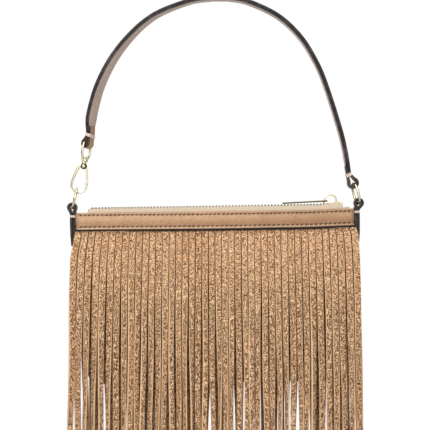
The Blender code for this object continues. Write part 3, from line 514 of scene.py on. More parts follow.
def planStations(inset, spacing):  # (x, y, normal x, normal y) for the front half, y negative
    width, half = plan["halfWidth"] - inset, plan["halfDepth"] - inset
    corner = max(plan["corner"] - inset, 0.5 * mm)
    stations = [(-width, -plan["seamGap"], -1.0, 0.0)]
    for x, y in arc((-(width - corner), -(half - corner)), corner, 180.0, 270.0, 8):
        stations.append((x, y, (x + width - corner) / corner, (y + half - corner) / corner))
    steps = int(2 * (width - corner) / spacing)
    for step in range(1, steps):
        stations.append((-(width - corner) + 2 * (width - corner) * step / steps, -half, 0.0, -1.0))
    return stations + [(-x, y, -nx, ny) for x, y, nx, ny in reversed(stations[:10])]


# Top band

bandValues = {"thick": 1.5 * mm, "topStitch": 1.9 * mm, "bottomStitch": 3.3 * mm, "groove": 0.28 * mm,
              "roll": 0.35 * mm, "pillow": 0.22 * mm, "paintedEdge": 1.35 * mm, "wave": 0.12 * mm,
              "spacing": 1.6 * mm, "paleRoll": (4.2 * mm, 2.4 * mm, 0.22),
              "paleRidge": (2.0 * mm, 0.5 * mm, 1.2),
              "lowShade": 0.55, "rightShade": 0.5, "endShade": 0.5}


def bandSection():  # (depth from the outer face, height) round the band's section, closed
    top, bottom = plan["bandTop"], plan["bandBottom"]
    thick, groove = bandValues["thick"], bandValues["groove"]
    high, low = top - bandValues["topStitch"], bottom + bandValues["bottomStitch"]
    middle = (high + low) / 2
    knots = [(0.45 * thick, bottom), (0.12 * thick, bottom + 0.2 * mm), (0.0, bottom + 0.7 * mm),
             (0.1 * mm, bottom + 1.4 * mm), (-bandValues["roll"], bottom + 2.1 * mm), (groove, low),
             (0.0, low + 1.0 * mm), (-bandValues["pillow"], middle), (0.0, high - 1.0 * mm), (groove, high),
             (-0.4 * bandValues["roll"], high + 0.8 * mm), (0.1 * thick, top - 0.45 * mm),
             (0.32 * thick, top - 0.1 * mm), (0.6 * thick, top), (0.92 * thick, top - 0.3 * mm),
             (thick, top - 1.0 * mm), (thick, middle), (thick, bottom + 0.6 * mm),
             (0.85 * thick, bottom + 0.1 * mm)]
    return smoothRoute([Vector((depth, height, 0.0)) for depth, height in knots], 4, closed=True)


def bandHighlight(height):  # painted highlight on the rolled top edge and on the ridge over the painted edge, where light catches them
    rollDrop, rollReach, rollPale = bandValues["paleRoll"]
    ridgeRise, ridgeReach, ridgePale = bandValues["paleRidge"]
    roll = math.exp(-((height - plan["bandTop"] + rollDrop) / rollReach) ** 2)
    ridge = math.exp(-((height - plan["bandBottom"] - ridgeRise) / ridgeReach) ** 2)
    return min(rollPale * roll + ridgePale * ridge, 1.0)


def bandPaintedShade(height, place):  # painted shade: darker low on the band, towards its right end and at both ends
    share = (plan["bandTop"] - height) / (plan["bandTop"] - plan["bandBottom"])
    low = bandValues["lowShade"] * ease(share, 0.2, 0.85)
    right = bandValues["rightShade"] * ease(place, -0.1, 1.0)
    return min(low + right + bandValues["endShade"] * ease(abs(place), 0.955, 1.0), 1.0)


def topBand(word, back):
    side = 1 if back else -1
    section = bandSection()
    shape, rings = Shape(), []
    for x, y, nx, ny in planStations(0.0, bandValues["spacing"]):
        wave = bandValues["wave"] * (math.sin(x * 210.0 + side) + 0.6 * math.sin(x * 97.0 + 2.0 * side))
        ring = []
        for knot in section:
            depth = knot.x + (wave if knot.x < 0.5 * bandValues["thick"] else 0.0)
            ring.append(Vector((x - nx * depth, -side * (y - ny * depth), knot.y - sag(x))))
        rings.append(ring)
    heights = [knot.y for knot in section]
    paint = plan["bandBottom"] + bandValues["paintedEdge"]
    places = [ring[0].x / plan["halfWidth"] for ring in rings]
    # the tone value carries the band's painted shade
    shape.loft(rings, kind=lambda i, j: 1 if heights[j] < paint else 0,
               highlightAndDarkening=lambda i, j: bandHighlight(heights[j]),
               tone=lambda i, j: bandPaintedShade(heights[j], places[i]))
    band = shape.make("topBand" + word, [bandLeather, bandPaint], bagFrame)
    return seat(band, "bag", "band_leather", "top_band_" + word.lower())


stitchValues = {"upperPitch": 3.3 * mm, "lowerPitch": 3.6 * mm, "length": 1.3 * mm, "thread": 0.4 * mm,
                "slant": 0.3 * mm, "pucker": 0.3 * mm, "pastCorner": 1.5 * mm, "proud": 0.1 * mm,
                "endSink": 0.3 * mm, "puckerShift": 0.42, "puckerDrop": 0.45 * mm, "puckerSink": 0.12 * mm}


def bandStitches(word, back):  # two rows of slanted thread, and a pucker of the leather beside each stitch, coloured pale as a painted highlight
    side = 1 if back else -1
    chance = random.Random(11 if back else 5)
    shape = Shape()
    reach = plan["halfWidth"] - plan["corner"] + stitchValues["pastCorner"]
    face = side * (plan["halfDepth"] + stitchValues["proud"])
    for height, pitch in ((plan["bandTop"] - bandValues["topStitch"], stitchValues["upperPitch"]),
                          (plan["bandBottom"] + bandValues["bottomStitch"], stitchValues["lowerPitch"])):
        count = int(2 * reach / pitch)
        for stitch in range(count):
            x = -reach + (stitch + 0.5) * 2 * reach / count + chance.uniform(-0.12, 0.12) * mm
            half = stitchValues["length"] / 2 * chance.uniform(0.88, 1.1)
            tip = stitchValues["slant"] * chance.uniform(0.8, 1.2)
            knots = []
            for share in (-1.25, -1.0, -0.6, 0.0, 0.6, 1.0, 1.25):
                sink = stitchValues["endSink"] * max(abs(share) - 0.5, 0.0) ** 2 * side
                knots.append(Vector((x + half * share, face - sink, height + tip * share - sag(x))))
            shape.loft(tubeRings(knots, stitchValues["thread"], 8), tone=chance.random())
            beside, sunk = x + pitch * stitchValues["puckerShift"], face - stitchValues["puckerSink"] * side
            low = height - stitchValues["puckerDrop"] - sag(x)
            knots = [Vector((beside + half * share, sunk, low + tip * share))
                     for share in (-0.8, -0.3, 0.3, 0.8)]
            pucker = stitchValues["pucker"] * chance.uniform(0.8, 1.1)
            # painted highlight: each pucker takes the pale band leather
            shape.loft(tubeRings(knots, pucker, 8), kind=1, highlightAndDarkening=lambda i, j: 0.75)
    stitches = shape.make("bandStitches" + word, [darkThread, bandLeather], bagFrame)
    return seat(stitches, "bag", "band_leather")


for back, word in ((False, "Front"), (True, "Back")):
    topBand(word, back)
    bandStitches(word, back)
print("top band done")


# Fringe

fringeLow = boxInBag("fringe_front")[0]
fringeValues = {"strips": 44, "fewerBehind": 1, "gap": 0.58 * mm, "thick": 1.35 * mm, "inset": 2.5 * mm,
                "header": 6.0 * mm, "underBand": 0.3 * mm, "rows": 44, "rowSpread": 0.92,
                "insideEnd": 1.7 * mm, "fillDrop": 62.0 * mm, "freeDrop": (12.0 * mm, 150.0 * mm),
                "flare": 2.4 * mm, "shoulders": ((-1, 3.2 * mm, 2.7 * mm), (1, 4.9 * mm, 0.9 * mm)),
                "twistStart": 22.0 * mm, "sway": 1.0 * mm, "wave": 0.5 * mm, "depthPlay": 1.2 * mm,
                "curl": 0.35 * mm, "raggedEnd": 2.4 * mm, "slantedEnd": 0.5 * mm,
                "cutEdge": 0.1, "highlightBevel": 0.4, "highlightDrop": (15.0 * mm, 80.0 * mm),
                "wideTop": 0.025, "narrowEnd": 0.08, "shoulderWiden": 0.8, "darkening": 1.3, "darkBy": 0.4,
                "partings": (-106.0, -100.5, -85.5, -69.0, -41.5, -36.0, -4.5, 12.0, 34.0, 68.0, 87.0, 92.0,
                             102.5),
                "partingFront": 0.7 * mm, "partingBack": 2.0 * mm, "partingReach": 5.0 * mm,
                "partingLean": 0.016, "partingDrop": (90.0 * mm, 160.0 * mm)}


def headerPath(share):  # point and tangent at a share of the sewn header's length
    width = plan["halfWidth"] - fringeValues["inset"]
    half = plan["halfDepth"] - fringeValues["inset"]
    corner = max(plan["corner"] - fringeValues["inset"], 0.5 * mm)
    flank, bend, front = half - corner, math.pi * corner / 2, 2 * (width - corner)
    along = share * (2 * flank + 2 * bend + front)
    mirror = 1
    if along > flank + bend + front / 2:
        along = 2 * flank + 2 * bend + front - along
        mirror = -1
    if along < flank:
        x, y, tx, ty = -width, -along, 0.0, -1.0
    elif along < flank + bend:
        turn = (along - flank) / corner
        x, y = -(width - corner) - corner * math.cos(turn), -(half - corner) - corner * math.sin(turn)
        tx, ty = math.sin(turn), -math.cos(turn)
    else:
        x, y, tx, ty = -(width - corner) + along - flank - bend, -half, 1.0, 0.0
    return Vector((mirror * x, y, 0.0)), Vector((tx, mirror * ty, 0.0))


def headerLength():
    width = plan["halfWidth"] - fringeValues["inset"]
    half = plan["halfDepth"] - fringeValues["inset"]
    corner = max(plan["corner"] - fringeValues["inset"], 0.5 * mm)
    return 2 * (half - corner) + math.pi * corner + 2 * (width - corner)


def hangDepth(drop):  # how far the strips stand from the middle of the bag at a drop under the band
    start = plan["halfDepth"] - fringeValues["inset"]
    full = -fringeLow.y - fringeValues["insideEnd"]
    return start + (full - start) * ease(drop, 0.0, fringeValues["fillDrop"])


def shoulderPush(place, drop):  # sideways push near the side seams, and its spread
    reach = plan["halfWidth"] - fringeValues["inset"]
    for side, quick, slow in fringeValues["shoulders"]:
        if place * side > 0.0:
            push = quick * ease(drop, -5.0 * mm, 3.0 * mm) + slow * ease(drop, 3.0 * mm, 22.0 * mm)
            share = min(abs(place) / reach, 1.0)
            return side * push * share ** 3.5, 3.5 * push * share ** 2.5 / reach
    return 0.0, 0.0


def pickTwist(chance):  # most strips hang nearly flat, some turn edge on
    draw = chance.random()
    if draw < 0.45:
        return chance.uniform(-16.0, 16.0)
    if draw < 0.9:
        return chance.choice((-1, 1, 1)) * chance.uniform(30.0, 55.0)
    return chance.choice((-1, 1)) * chance.uniform(50.0, 72.0)


def partingPush(place, back):  # how far the wider partings near it push a strip aside
    side, push = 1 if back else -1, 0.0
    width = fringeValues["partingBack" if back else "partingFront"]
    for spot in fringeValues["partings"]:
        away = place - spot * mm * (1.0 - fringeValues["partingLean"] * side)
        push += math.copysign(width * math.exp(-abs(away) / fringeValues["partingReach"]), away)
    return push


def stripCount(back):
    return fringeValues["strips"] - (fringeValues["fewerBehind"] if back else 0)


def drawStrip(chance, strip, back):  # what is this strip's own, drawn in a fixed order
    values, own = fringeValues, {}
    own["turnEnd"], own["turnSwing"] = pickTwist(chance), chance.uniform(-14.0, 14.0)
    own["phase"], own["second"] = chance.uniform(0.0, 6.28), chance.uniform(0.0, 6.28)
    own["sway"] = values["sway"] * chance.uniform(-1.0, 1.0)
    own["play"] = values["depthPlay"] * chance.uniform(0.2, 1.0) * (1 if strip % 2 else -1)
    own["width"] = headerLength() / stripCount(back) - values["gap"] * chance.uniform(0.8, 1.5)
    own["thick"] = values["thick"] * chance.uniform(0.88, 1.05)
    own["curl"] = values["curl"] * chance.uniform(-1.0, 1.0)
    own["shorter"] = values["raggedEnd"] * chance.random()
    # painted highlight: how much wider this strip's pale bevelled rim grows
    own["light"] = values["highlightBevel"] * chance.choice((0.0, 0.5, 1.0))
    own["slope"] = values["slantedEnd"] * chance.uniform(-1.0, 1.0)
    own["tone"] = chance.random()
    own["middle"], own["tangent"] = headerPath((strip + 0.5) / stripCount(back))
    own["parting"] = partingPush(own["middle"].x, back)
    return own


def stripStations(own, slit, end):  # how a strip lies, turns and narrows on its way down
    values, stations = fringeValues, []
    middle, tangent = own["middle"], own["tangent"]
    for row in range(values["rows"] + 1):
        z = slit + (end + own["shorter"] - slit) * (row / values["rows"]) ** values["rowSpread"]
        drop = slit - z
        depth = hangDepth(drop) / (plan["halfDepth"] - values["inset"])
        stretch = 1.0 + values["flare"] / plan["halfWidth"] * ease(drop, 0.0, slit - end)
        free = ease(drop, *values["freeDrop"])
        wander = (own["sway"] + values["wave"] * math.sin(drop * 38.0 + own["phase"])) * free
        wander += own["parting"] * ease(drop, *values["partingDrop"])
        twist = own["turnEnd"] * ease(drop, values["twistStart"], slit - end)
        twist += own["turnSwing"] * free * math.sin(drop * 30.0 + own["second"])
        angle = math.radians(twist)
        flat = Vector((tangent.x * stretch, tangent.y * depth, 0.0)).normalized()
        outward = Vector((flat.y, -flat.x, 0.0))
        push, spread = shoulderPush(middle.x, drop)
        point = Vector((middle.x * stretch + push, middle.y * depth, z - sag(middle.x)))
        point += flat * wander + outward * own["play"] * free
        across = flat * math.cos(angle) + outward * math.sin(angle)
        normal = outward * math.cos(angle) - flat * math.sin(angle)
        wider = values["wideTop"] * (1.0 - ease(drop, 0.0, 30.0 * mm)) - values["narrowEnd"] * free
        wider += values["shoulderWiden"] * spread * abs(flat.x)
        bevel = values["cutEdge"] + own["light"] * ease(drop, *values["highlightDrop"])
        slope = own["slope"] if row == values["rows"] else 0.0
        stations.append((point, across, normal, own["width"] * (1.0 + wider), own["thick"],
                         own["curl"] * free, bevel, slope))
    return stations


def stripFace(row, corner):  # 0 outer face, 1 cut edges in pale suede as painted highlight, 2 inner face in dark suede as painted shade
    if 1 <= corner <= 4:
        return 0
    return 2 if 8 <= corner <= 11 else 1


def stripDarkening(row, corner):  # darker suede away from the band
    return fringeValues["darkening"] * ease(row / fringeValues["rows"], 0.0, fringeValues["darkBy"])


def fringe(word, back, seed):
    side = 1 if back else -1
    chance = random.Random(seed)
    slit = plan["bandBottom"] - fringeValues["underBand"]
    end = boxInBag("fringe_" + word.lower())[0].z
    shape = Shape()
    for strip in range(stripCount(back)):
        own = drawStrip(chance, strip, back)
        rings = [stripRing(station, math.tan(bagTilt) * (slit - station[0].z), side)
                 for station in stripStations(own, slit, end)]
        shape.loft(rings, kind=stripFace, tone=own["tone"], highlightAndDarkening=stripDarkening)
    return shape


def stripRing(station, shift, side):  # a thin oblong ring, a little dished, with soft cut corners
    point, across, normal, width, thick, curl, bevel, slope = station
    half, deep = width / 2, thick / 2
    corners = ((1.0, 0.5), (0.9, 1.0), (0.5, 1.0), (0.0, 1.0), (-0.5, 1.0), (bevel - 1.0, 1.0), (-1.0, 0.5),
               (-1.0, -0.7), (-0.93, -1.0), (-0.5, -1.0), (0.0, -1.0), (0.5, -1.0), (0.93, -1.0), (1.0, -0.7))
    ring = []
    for sideways, up in corners:
        dish = curl * (1.0 - sideways * sideways)
        place = point + across * half * sideways + normal * (deep * up + dish)
        ring.append(Vector((place.x - shift, -side * place.y, place.z + slope * sideways)))
    return ring


def fringeHeader(shape, back):  # the uncut strip that the band hides
    side = 1 if back else -1
    rings, steps = [], 90
    slit = plan["bandBottom"] - fringeValues["underBand"]
    thick = fringeValues["thick"]
    for step in range(steps + 1):
        point, tangent = headerPath(0.001 + 0.998 * step / steps)
        outward = Vector((tangent.y, -tangent.x, 0.0))
        ring = []
        for up, height in ((0.5, slit - 0.2 * mm), (0.5, slit + fringeValues["header"]),
                           (-0.5, slit + fringeValues["header"]), (-0.5, slit - 0.2 * mm)):
            place = point + outward * thick * up
            ring.append(Vector((place.x, -side * place.y, height)))
        rings.append(ring)
    shape.loft(rings)


for back, word, seed in ((False, "Front", 21), (True, "Back", 34)):
    strips = fringe(word, back, seed)
    fringeHeader(strips, back)
    # cut edges in painted highlight, inner faces in painted shade
    made = strips.make("fringe" + word, [suede, suedeEdgeHighlight, shadedSuede], bagFrame)
    seat(made, "bag", "suede", "fringe_" + word.lower())
print("fringe done")


# Pouch panels and lining

pouchValues = {"thick": 1.2 * mm, "liningThick": 0.6 * mm, "liningGap": 0.2 * mm, "corner": 15.0 * mm,
               "topDepth": 4.2 * mm, "behindFringe": 0.8 * mm, "seamGap": 0.35 * mm, "ripple": 0.25 * mm,
               "columns": 60, "rows": 40}


def fringeRoom(z):  # how far out a panel may reach behind the strips
    drop = plan["bandBottom"] - z
    play = fringeValues["depthPlay"] * ease(drop, *fringeValues["freeDrop"])
    return hangDepth(drop) - play - fringeValues["thick"] / 2 - pouchValues["behindFringe"]


def pouchPanel(name, node, back, material, finishSlot, thick):  # follows the CAD panel's outside
    side = 1 if back else -1
    low, high = boxInBag(node)
    top, bottom = high.z, low.z
    half = (high.x - low.x) / 2
    full = max(abs(low.y), abs(high.y)) - thick
    inside = pouchValues["thick"] + pouchValues["liningGap"] if node.startswith("lining") else 0.0
    shape, rings = Shape(), []
    for row in range(pouchValues["rows"] + 1):
        share = row / pouchValues["rows"]
        z = top + (bottom - top) * share
        under = max((plan["bandBottom"] - z) / (plan["bandBottom"] - bottom), 0.0)
        start = pouchValues["topDepth"]
        deep = start + (full - start) * math.sin(math.pi * min(under, 1.0) ** 0.85)
        deep *= math.sqrt(max(1.0 - under ** 6, 0.0))
        if z < plan["bandBottom"]:
            room = fringeRoom(z) - thick / 2 - inside
            deep = max(min(deep, room), min(deep, start))
        rise = pouchValues["corner"] - (z - bottom)
        width = half - thick
        if rise > 0.0:
            width -= pouchValues["corner"] - math.sqrt(max(pouchValues["corner"] ** 2 - rise ** 2, 0.0))
        power = 12.0 - 8.0 * ease(-z, -plan["bandBottom"], -plan["bandBottom"] + 40.0 * mm)
        outer, inner = [], []
        for column in range(pouchValues["columns"] + 1):
            across = math.sin(math.pi / 2 * (2 * column / pouchValues["columns"] - 1))
            outline = max(1.0 - abs(across) ** power, 0.0) ** (1.0 / power)
            seam = thick / 2 + pouchValues["seamGap"]
            y = seam + max(deep - seam, 0.0) * outline
            ripple = pouchValues["ripple"] * math.sin(across * 23.0 + z * 90.0) * outline
            ripple *= min(under * 4.0, 1.0)
            outer.append(Vector((width * across, side * (y + ripple + thick / 2), z)))
            inner.append(Vector((width * across, side * (y + ripple - thick / 2), z)))
        rings.append(outer + inner[::-1])
    shape.loft(rings)
    panel = shape.make(name, [material], bagFrame)
    seat(panel, "bag", finishSlot, node)


for back, word in ((False, "Front"), (True, "Back")):
    # the pouch panels take the dark suede as painted shade
    pouchPanel("pouch" + word, "pouch_" + word.lower(), back, shadedSuede, "suede", pouchValues["thick"])
    pouchPanel("lining" + word, "lining_" + word.lower(), back, liningCloth, "lining",
               pouchValues["liningThick"])
print("pouch done")


# Zip

stopLeftLow, stopLeftHigh = boxInBag("zip_stop_left")
stopRightLow, stopRightHigh = boxInBag("zip_stop_right")
teethHigh = boxInBag("zip_teeth_front")[1]
tapeLow, tapeHigh = boxInBag("zip_tape_front")
zipValues = {"pitch": 2.54 * mm, "width": 1.3 * mm, "height": 1.5 * mm, "tip": 0.45 * mm, "root": 2.9 * mm,
             "nubIn": 0.55 * mm, "tapeThick": 0.7 * mm, "dive": 4.6 * mm, "rise": 3.0 * mm,
             "start": -96.5 * mm, "end": stopRightLow.x - 0.3 * mm, "stopDrop": 1.2 * mm,
             "nub": ((0.38 * mm, -0.2 * mm), (0.36 * mm, 0.05 * mm), (0.2 * mm, 0.2 * mm), (0.0, 0.24 * mm))}


def zipTeeth(word, back):
    side = 1 if back else -1
    shape = Shape()
    start = zipValues["start"] + zipValues["width"]
    count = int((teethHigh.x - start) / zipValues["pitch"])
    middle = teethHigh.z - zipValues["height"] / 2
    for tooth in range(count):
        x = start + tooth * zipValues["pitch"]
        stations = []
        for share, wide, tall in ((0.0, 0.55, 0.7), (0.06, 0.8, 0.9), (0.2, 0.86, 1.0), (0.4, 0.78, 0.98),
                                  (0.55, 0.95, 1.0), (0.9, 1.0, 1.0), (0.97, 0.9, 0.9), (1.0, 0.6, 0.7)):
            y = zipValues["tip"] + (zipValues["root"] - zipValues["tip"]) * share
            stations.append((Vector((x, side * y, middle)), Vector((1, 0, 0)), Vector((0, 0, 1)),
                             zipValues["width"] * wide, zipValues["height"] * tall))
        shape.loft(ribbonRings(stations, 0.28, 2), tone=0.5)
        nub = Vector((x, side * (zipValues["tip"] + zipValues["nubIn"]), teethHigh.z - 0.05 * mm))
        shape.loft(turnedRings(zipValues["nub"], Vector((0, 0, 1)), Vector((1, 0, 0)), nub, 8))
    teeth = shape.make("zipTeeth" + word, [zipGold], bagFrame)
    return seat(teeth, "bag", "zip_metal", "zip_teeth_" + word.lower())


def zipTape(word, back):  # the tape rolls over from the teeth and goes down inside the band
    side = 1 if back else -1
    thick = zipValues["tapeThick"]
    middle = teethHigh.z - zipValues["height"] / 2
    inside = plan["halfDepth"] - bandValues["thick"] - 0.3 * mm - thick / 2
    knots = [Vector((2.3 * mm, middle - 0.55 * mm, 0)), Vector((3.2 * mm, middle - 0.5 * mm, 0)),
             Vector((4.4 * mm, middle - 0.6 * mm, 0)), Vector((5.6 * mm, middle - 1.2 * mm, 0)),
             Vector((6.4 * mm, middle - 2.4 * mm, 0)),
             Vector((inside - 0.1 * mm, plan["bandTop"] - 0.2 * mm, 0)),
             Vector((inside, plan["bandTop"] - 2.5 * mm, 0)), Vector((inside, tapeLow.z, 0))]
    line = smoothRoute(knots, 5)
    shape, rings = Shape(), []
    steps = 150
    for step in range(steps + 1):
        x = tapeLow.x + (tapeHigh.x - tapeLow.x) * step / steps
        fall = zipValues["dive"] * (1.0 - ease(x, zipValues["start"] - 4.0 * mm, zipValues["start"]))
        fall += zipValues["dive"] * ease(x, zipValues["end"] - 0.5 * mm, zipValues["end"] + 1.5 * mm)
        ripple = 0.05 * mm * math.sin(x * 130.0 + side) + 0.04 * mm * math.sin(x * 310.0)
        lift = zipValues["rise"] * ease(x, 80.0 * mm, 95.0 * mm)
        ring = []
        for offset in (1, -1):
            row = []
            for i, knot in enumerate(line):
                before, after = line[max(i - 1, 0)], line[min(i + 1, len(line) - 1)]
                run = (after - before).normalized()
                free = ease(knot.y, plan["bandTop"] - 1.0 * mm, middle)
                y = knot.x - run.y * offset * thick / 2
                z = knot.y + run.x * offset * thick / 2 + (ripple - fall) * free
                z += lift * ease(knot.x, 3.7 * mm, 5.2 * mm) * free
                row.append(Vector((x, side * y, z)))
            ring += row if offset == 1 else row[::-1]
        rings.append(ring)
    shape.loft(rings)
    tape = shape.make("zipTape" + word, [tapeCloth], bagFrame)
    seat(tape, "bag", "zip_tape", "zip_tape_" + word.lower())


def zipStop(word, low, high):
    size, centre = high - low, (high + low) / 2
    stations = []
    for share, scale in ((-0.5, 0.72), (-0.44, 0.93), (-0.3, 1.0), (0.3, 1.0), (0.44, 0.93), (0.5, 0.72)):
        stations.append((centre + Vector((0, 0, size.z * share)), Vector((0, 1, 0)), Vector((1, 0, 0)),
                         size.y * scale, size.x * scale))
    shape = Shape()
    shape.loft(ribbonRings(stations, 0.4, 4))
    stop = shape.make("zipStop" + word, [paleGold], bagFrame)
    return seat(stop, "bag", "zip_metal", "zip_stop_" + word.lower())


for back, word in ((False, "Front"), (True, "Back")):
    zipTeeth(word, back)
    zipTape(word, back)
lowered = Vector((zipValues["start"] - stopLeftHigh.x, 0.0, -zipValues["stopDrop"]))
zipStop("Left", stopLeftLow + lowered, stopLeftHigh + lowered)
zipStop("Right", stopRightLow, stopRightHigh)
print("zip done")


# Slider and pull

sliderLow, sliderHigh = boxInBag("zip_slider")
pullAnchor = bagFrame.inverted() @ Vector(joints["pull_lift"]["pos_m"])
sliderValues = {"length": 12.0 * mm, "halfWidth": 4.2 * mm, "noseWidth": 3.0 * mm, "plate": 0.9 * mm,
                "plateEdge": 0.3 * mm, "web": 0.6 * mm, "webStart": 2.4 * mm, "webReach": 2.2 * mm,
                "bailRadius": 4.6 * mm, "bailWire": 0.6 * mm, "pullLength": 33.0 * mm, "pullWidth": 4.6 * mm,
                "pullThick": 1.2 * mm, "pullSlope": 2.0, "clearance": 0.3 * mm, "lowerDrop": 0.35 * mm,
                "pullCorner": 1.4 * mm, "pullHolePlay": 0.45 * mm}


def sliderOutline():
    half, nose, wide = sliderValues["length"] / 2, sliderValues["noseWidth"], sliderValues["halfWidth"]
    knots = [(-half, nose * 0.55), (-half * 0.85, nose * 0.92), (-half * 0.3, nose * 1.1),
             (half * 0.15, wide * 0.98), (half * 0.6, wide), (half * 0.9, nose * 0.95), (half, nose * 0.35)]
    smooth = smoothRoute([Vector((x, y, 0.0)) for x, y in knots], 3)
    upper = [(point.x, point.y) for point in smooth]
    return upper + [(x, -y) for x, y in reversed(upper)]


def zipSlider():
    middle = Vector(((sliderLow.x + sliderHigh.x) / 2, 0.0, teethHigh.z))
    plate, gap = sliderValues["plate"], sliderValues["clearance"]
    top = middle + Vector((0, 0, gap + plate / 2))
    under = middle + Vector((0, 0, -zipValues["height"] - gap - sliderValues["lowerDrop"] - plate / 2))
    plates = []
    for name, place in (("sliderTopPlate", top), ("sliderLowerPlate", under)):
        plates.append(roundedPlate(name, [sliderOutline()], plate, sliderValues["plateEdge"], [paleGold],
                                   bagFrame @ Matrix.Translation(place)))
    shape, web = Shape(), []
    tall = (top - under).z
    for share in (0.0, 1.0):
        point = under + Vector((sliderValues["webStart"], 0, 0))
        point += Vector((share * sliderValues["webReach"], 0, 0))
        point += Vector((0, 0, tall / 2))
        web.append((point, Vector((0, 1, 0)), Vector((0, 0, 1)), sliderValues["web"], tall))
    shape.loft(ribbonRings(web, 0.05, 1))
    radius = sliderValues["bailRadius"]
    pivot = middle + Vector((0, 0, pullAnchor.z - middle.z))
    knots = [Vector((-radius, 0, top.z)), Vector((-radius, 0, (top.z + pivot.z) / 2))]
    knots += [Vector((x, 0, z)) for x, z in arc((0.0, pivot.z), radius, 180.0, 0.0, 30)]
    knots += [Vector((radius, 0, (top.z + pivot.z) / 2)), Vector((radius, 0, top.z))]
    shape.loft(tubeRings([knot + Vector((middle.x, 0, 0)) for knot in knots], sliderValues["bailWire"], 14))
    for x in (-radius, radius):  # feet of the bail on the plate
        foot = middle + Vector((x, 0, gap + plate * 0.6))
        profile = [(1.15 * mm, 0.0), (1.1 * mm, 0.45 * mm), (0.8 * mm, 0.7 * mm), (0.5 * mm, 0.75 * mm)]
        shape.loft(turnedRings(profile, Vector((0, 0, 1)), Vector((1, 0, 0)), foot, 16))
    bail = shape.make("sliderBail", [paleGold], bagFrame)
    for piece in plates + [bail]:
        seat(piece, "slider", "hardware")
    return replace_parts(bail, "zip_slider")


def zipPull():
    values = sliderValues
    half, radius = values["pullWidth"] / 2, values["bailRadius"]
    end = -radius - values["pullLength"]
    outline = arc((-radius, 0.0), half, -90.0, 90.0, 18)
    corner, farHalf = values["pullCorner"], half * 0.96
    outline += [(end + 2.2 * mm, farHalf)]
    outline += arc((end + corner, farHalf - corner), corner, 90.0, 180.0, 6)
    outline += arc((end + corner, -farHalf + corner), corner, 180.0, 270.0, 6)
    hole = arc((-radius, 0.0), values["bailWire"] + values["pullHolePlay"], 0.0, 345.0, 23)
    slope = Matrix.Rotation(math.radians(-values["pullSlope"]), 4, "Y")
    turn = bagFrame @ Matrix.Translation(pullAnchor) @ slope
    pull = roundedPlate("zipPull", [outline, hole], values["pullThick"], 0.32 * mm, [zipGold], turn)
    return seat(pull, "pull", "hardware", "zip_pull")


zipSlider()
zipPull()
print("slider done")


# Rings and side tabs

tabValues = {"width": 8.0 * mm, "thick": 4.6 * mm, "leather": 2.3 * mm, "tipThick": 1.7 * mm,
             "loopBore": 1.6 * mm, "gap": 0.06 * mm, "loopLift": 0.4 * mm, "neckDrop": 1.2 * mm,
             "seatGap": 0.1 * mm, "wrapDrop": 14.3 * mm, "wrapTurns": 4, "wrapCorner": 0.5 * mm,
             "wrapSpacing": 1.85, "thread": 0.24 * mm, "ringTurn": 7.0}


def ringFrame(side):  # foot and centre of a ring's wire, in the row frame
    word = "left" if side < 0 else "right"
    foot = Vector(joints["ring_" + word + "_pivot"]["pos_m"])
    low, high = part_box("ring_" + word)
    return foot, (low + high) / 2


def ring(side):
    word = "left" if side < 0 else "right"
    foot, centre = ringFrame(side)
    low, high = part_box("ring_" + word)
    up = centre - foot
    up.y = 0.0
    radius = up.length
    wire = (high.y - low.y) / 2 - radius
    up.normalize()
    wide = Matrix.Rotation(math.radians(tabValues["ringTurn"]), 3, up) @ Vector((0, 1, 0))
    points = []
    for step in range(96):
        angle = 2 * math.pi * step / 96
        points.append(centre + up * radius * math.cos(angle) + wide * radius * math.sin(angle))
    shape = Shape()
    shape.loft(tubeRings(points, wire, 20, closed=True), closed=True)
    made = shape.make("ring" + word.capitalize(), [paleGold], levelFrame)
    return seat(made, "ring_" + word, "hardware", "ring_" + word)


def threadWrap(shape, centre, along, across, normal, width, thick, turns, thread):  # turns round a stack
    for turn in range(turns):
        middle = centre + along * (turn - (turns - 1) / 2) * thread * tabValues["wrapSpacing"]
        reach, deep, corner = width / 2 + thread * 0.5, thick / 2 + thread * 0.5, tabValues["wrapCorner"]
        points = []
        for sideways, up, start in ((1, 1, 0), (-1, 1, 90), (-1, -1, 180), (1, -1, 270)):
            knot = middle + across * sideways * (reach - corner) + normal * up * (deep - corner)
            for step in range(5):
                angle = math.radians(start + 90 * step / 4)
                points.append(knot + across * corner * math.cos(angle) + normal * corner * math.sin(angle))
        shape.loft(tubeRings(points, thread, 8, closed=True), closed=True, tone=turn / max(turns - 1, 1))


def leatherOrPaint(row, corner):  # leather on the two faces, paint on the cut edges
    return 0 if corner in (3, 11) else 1


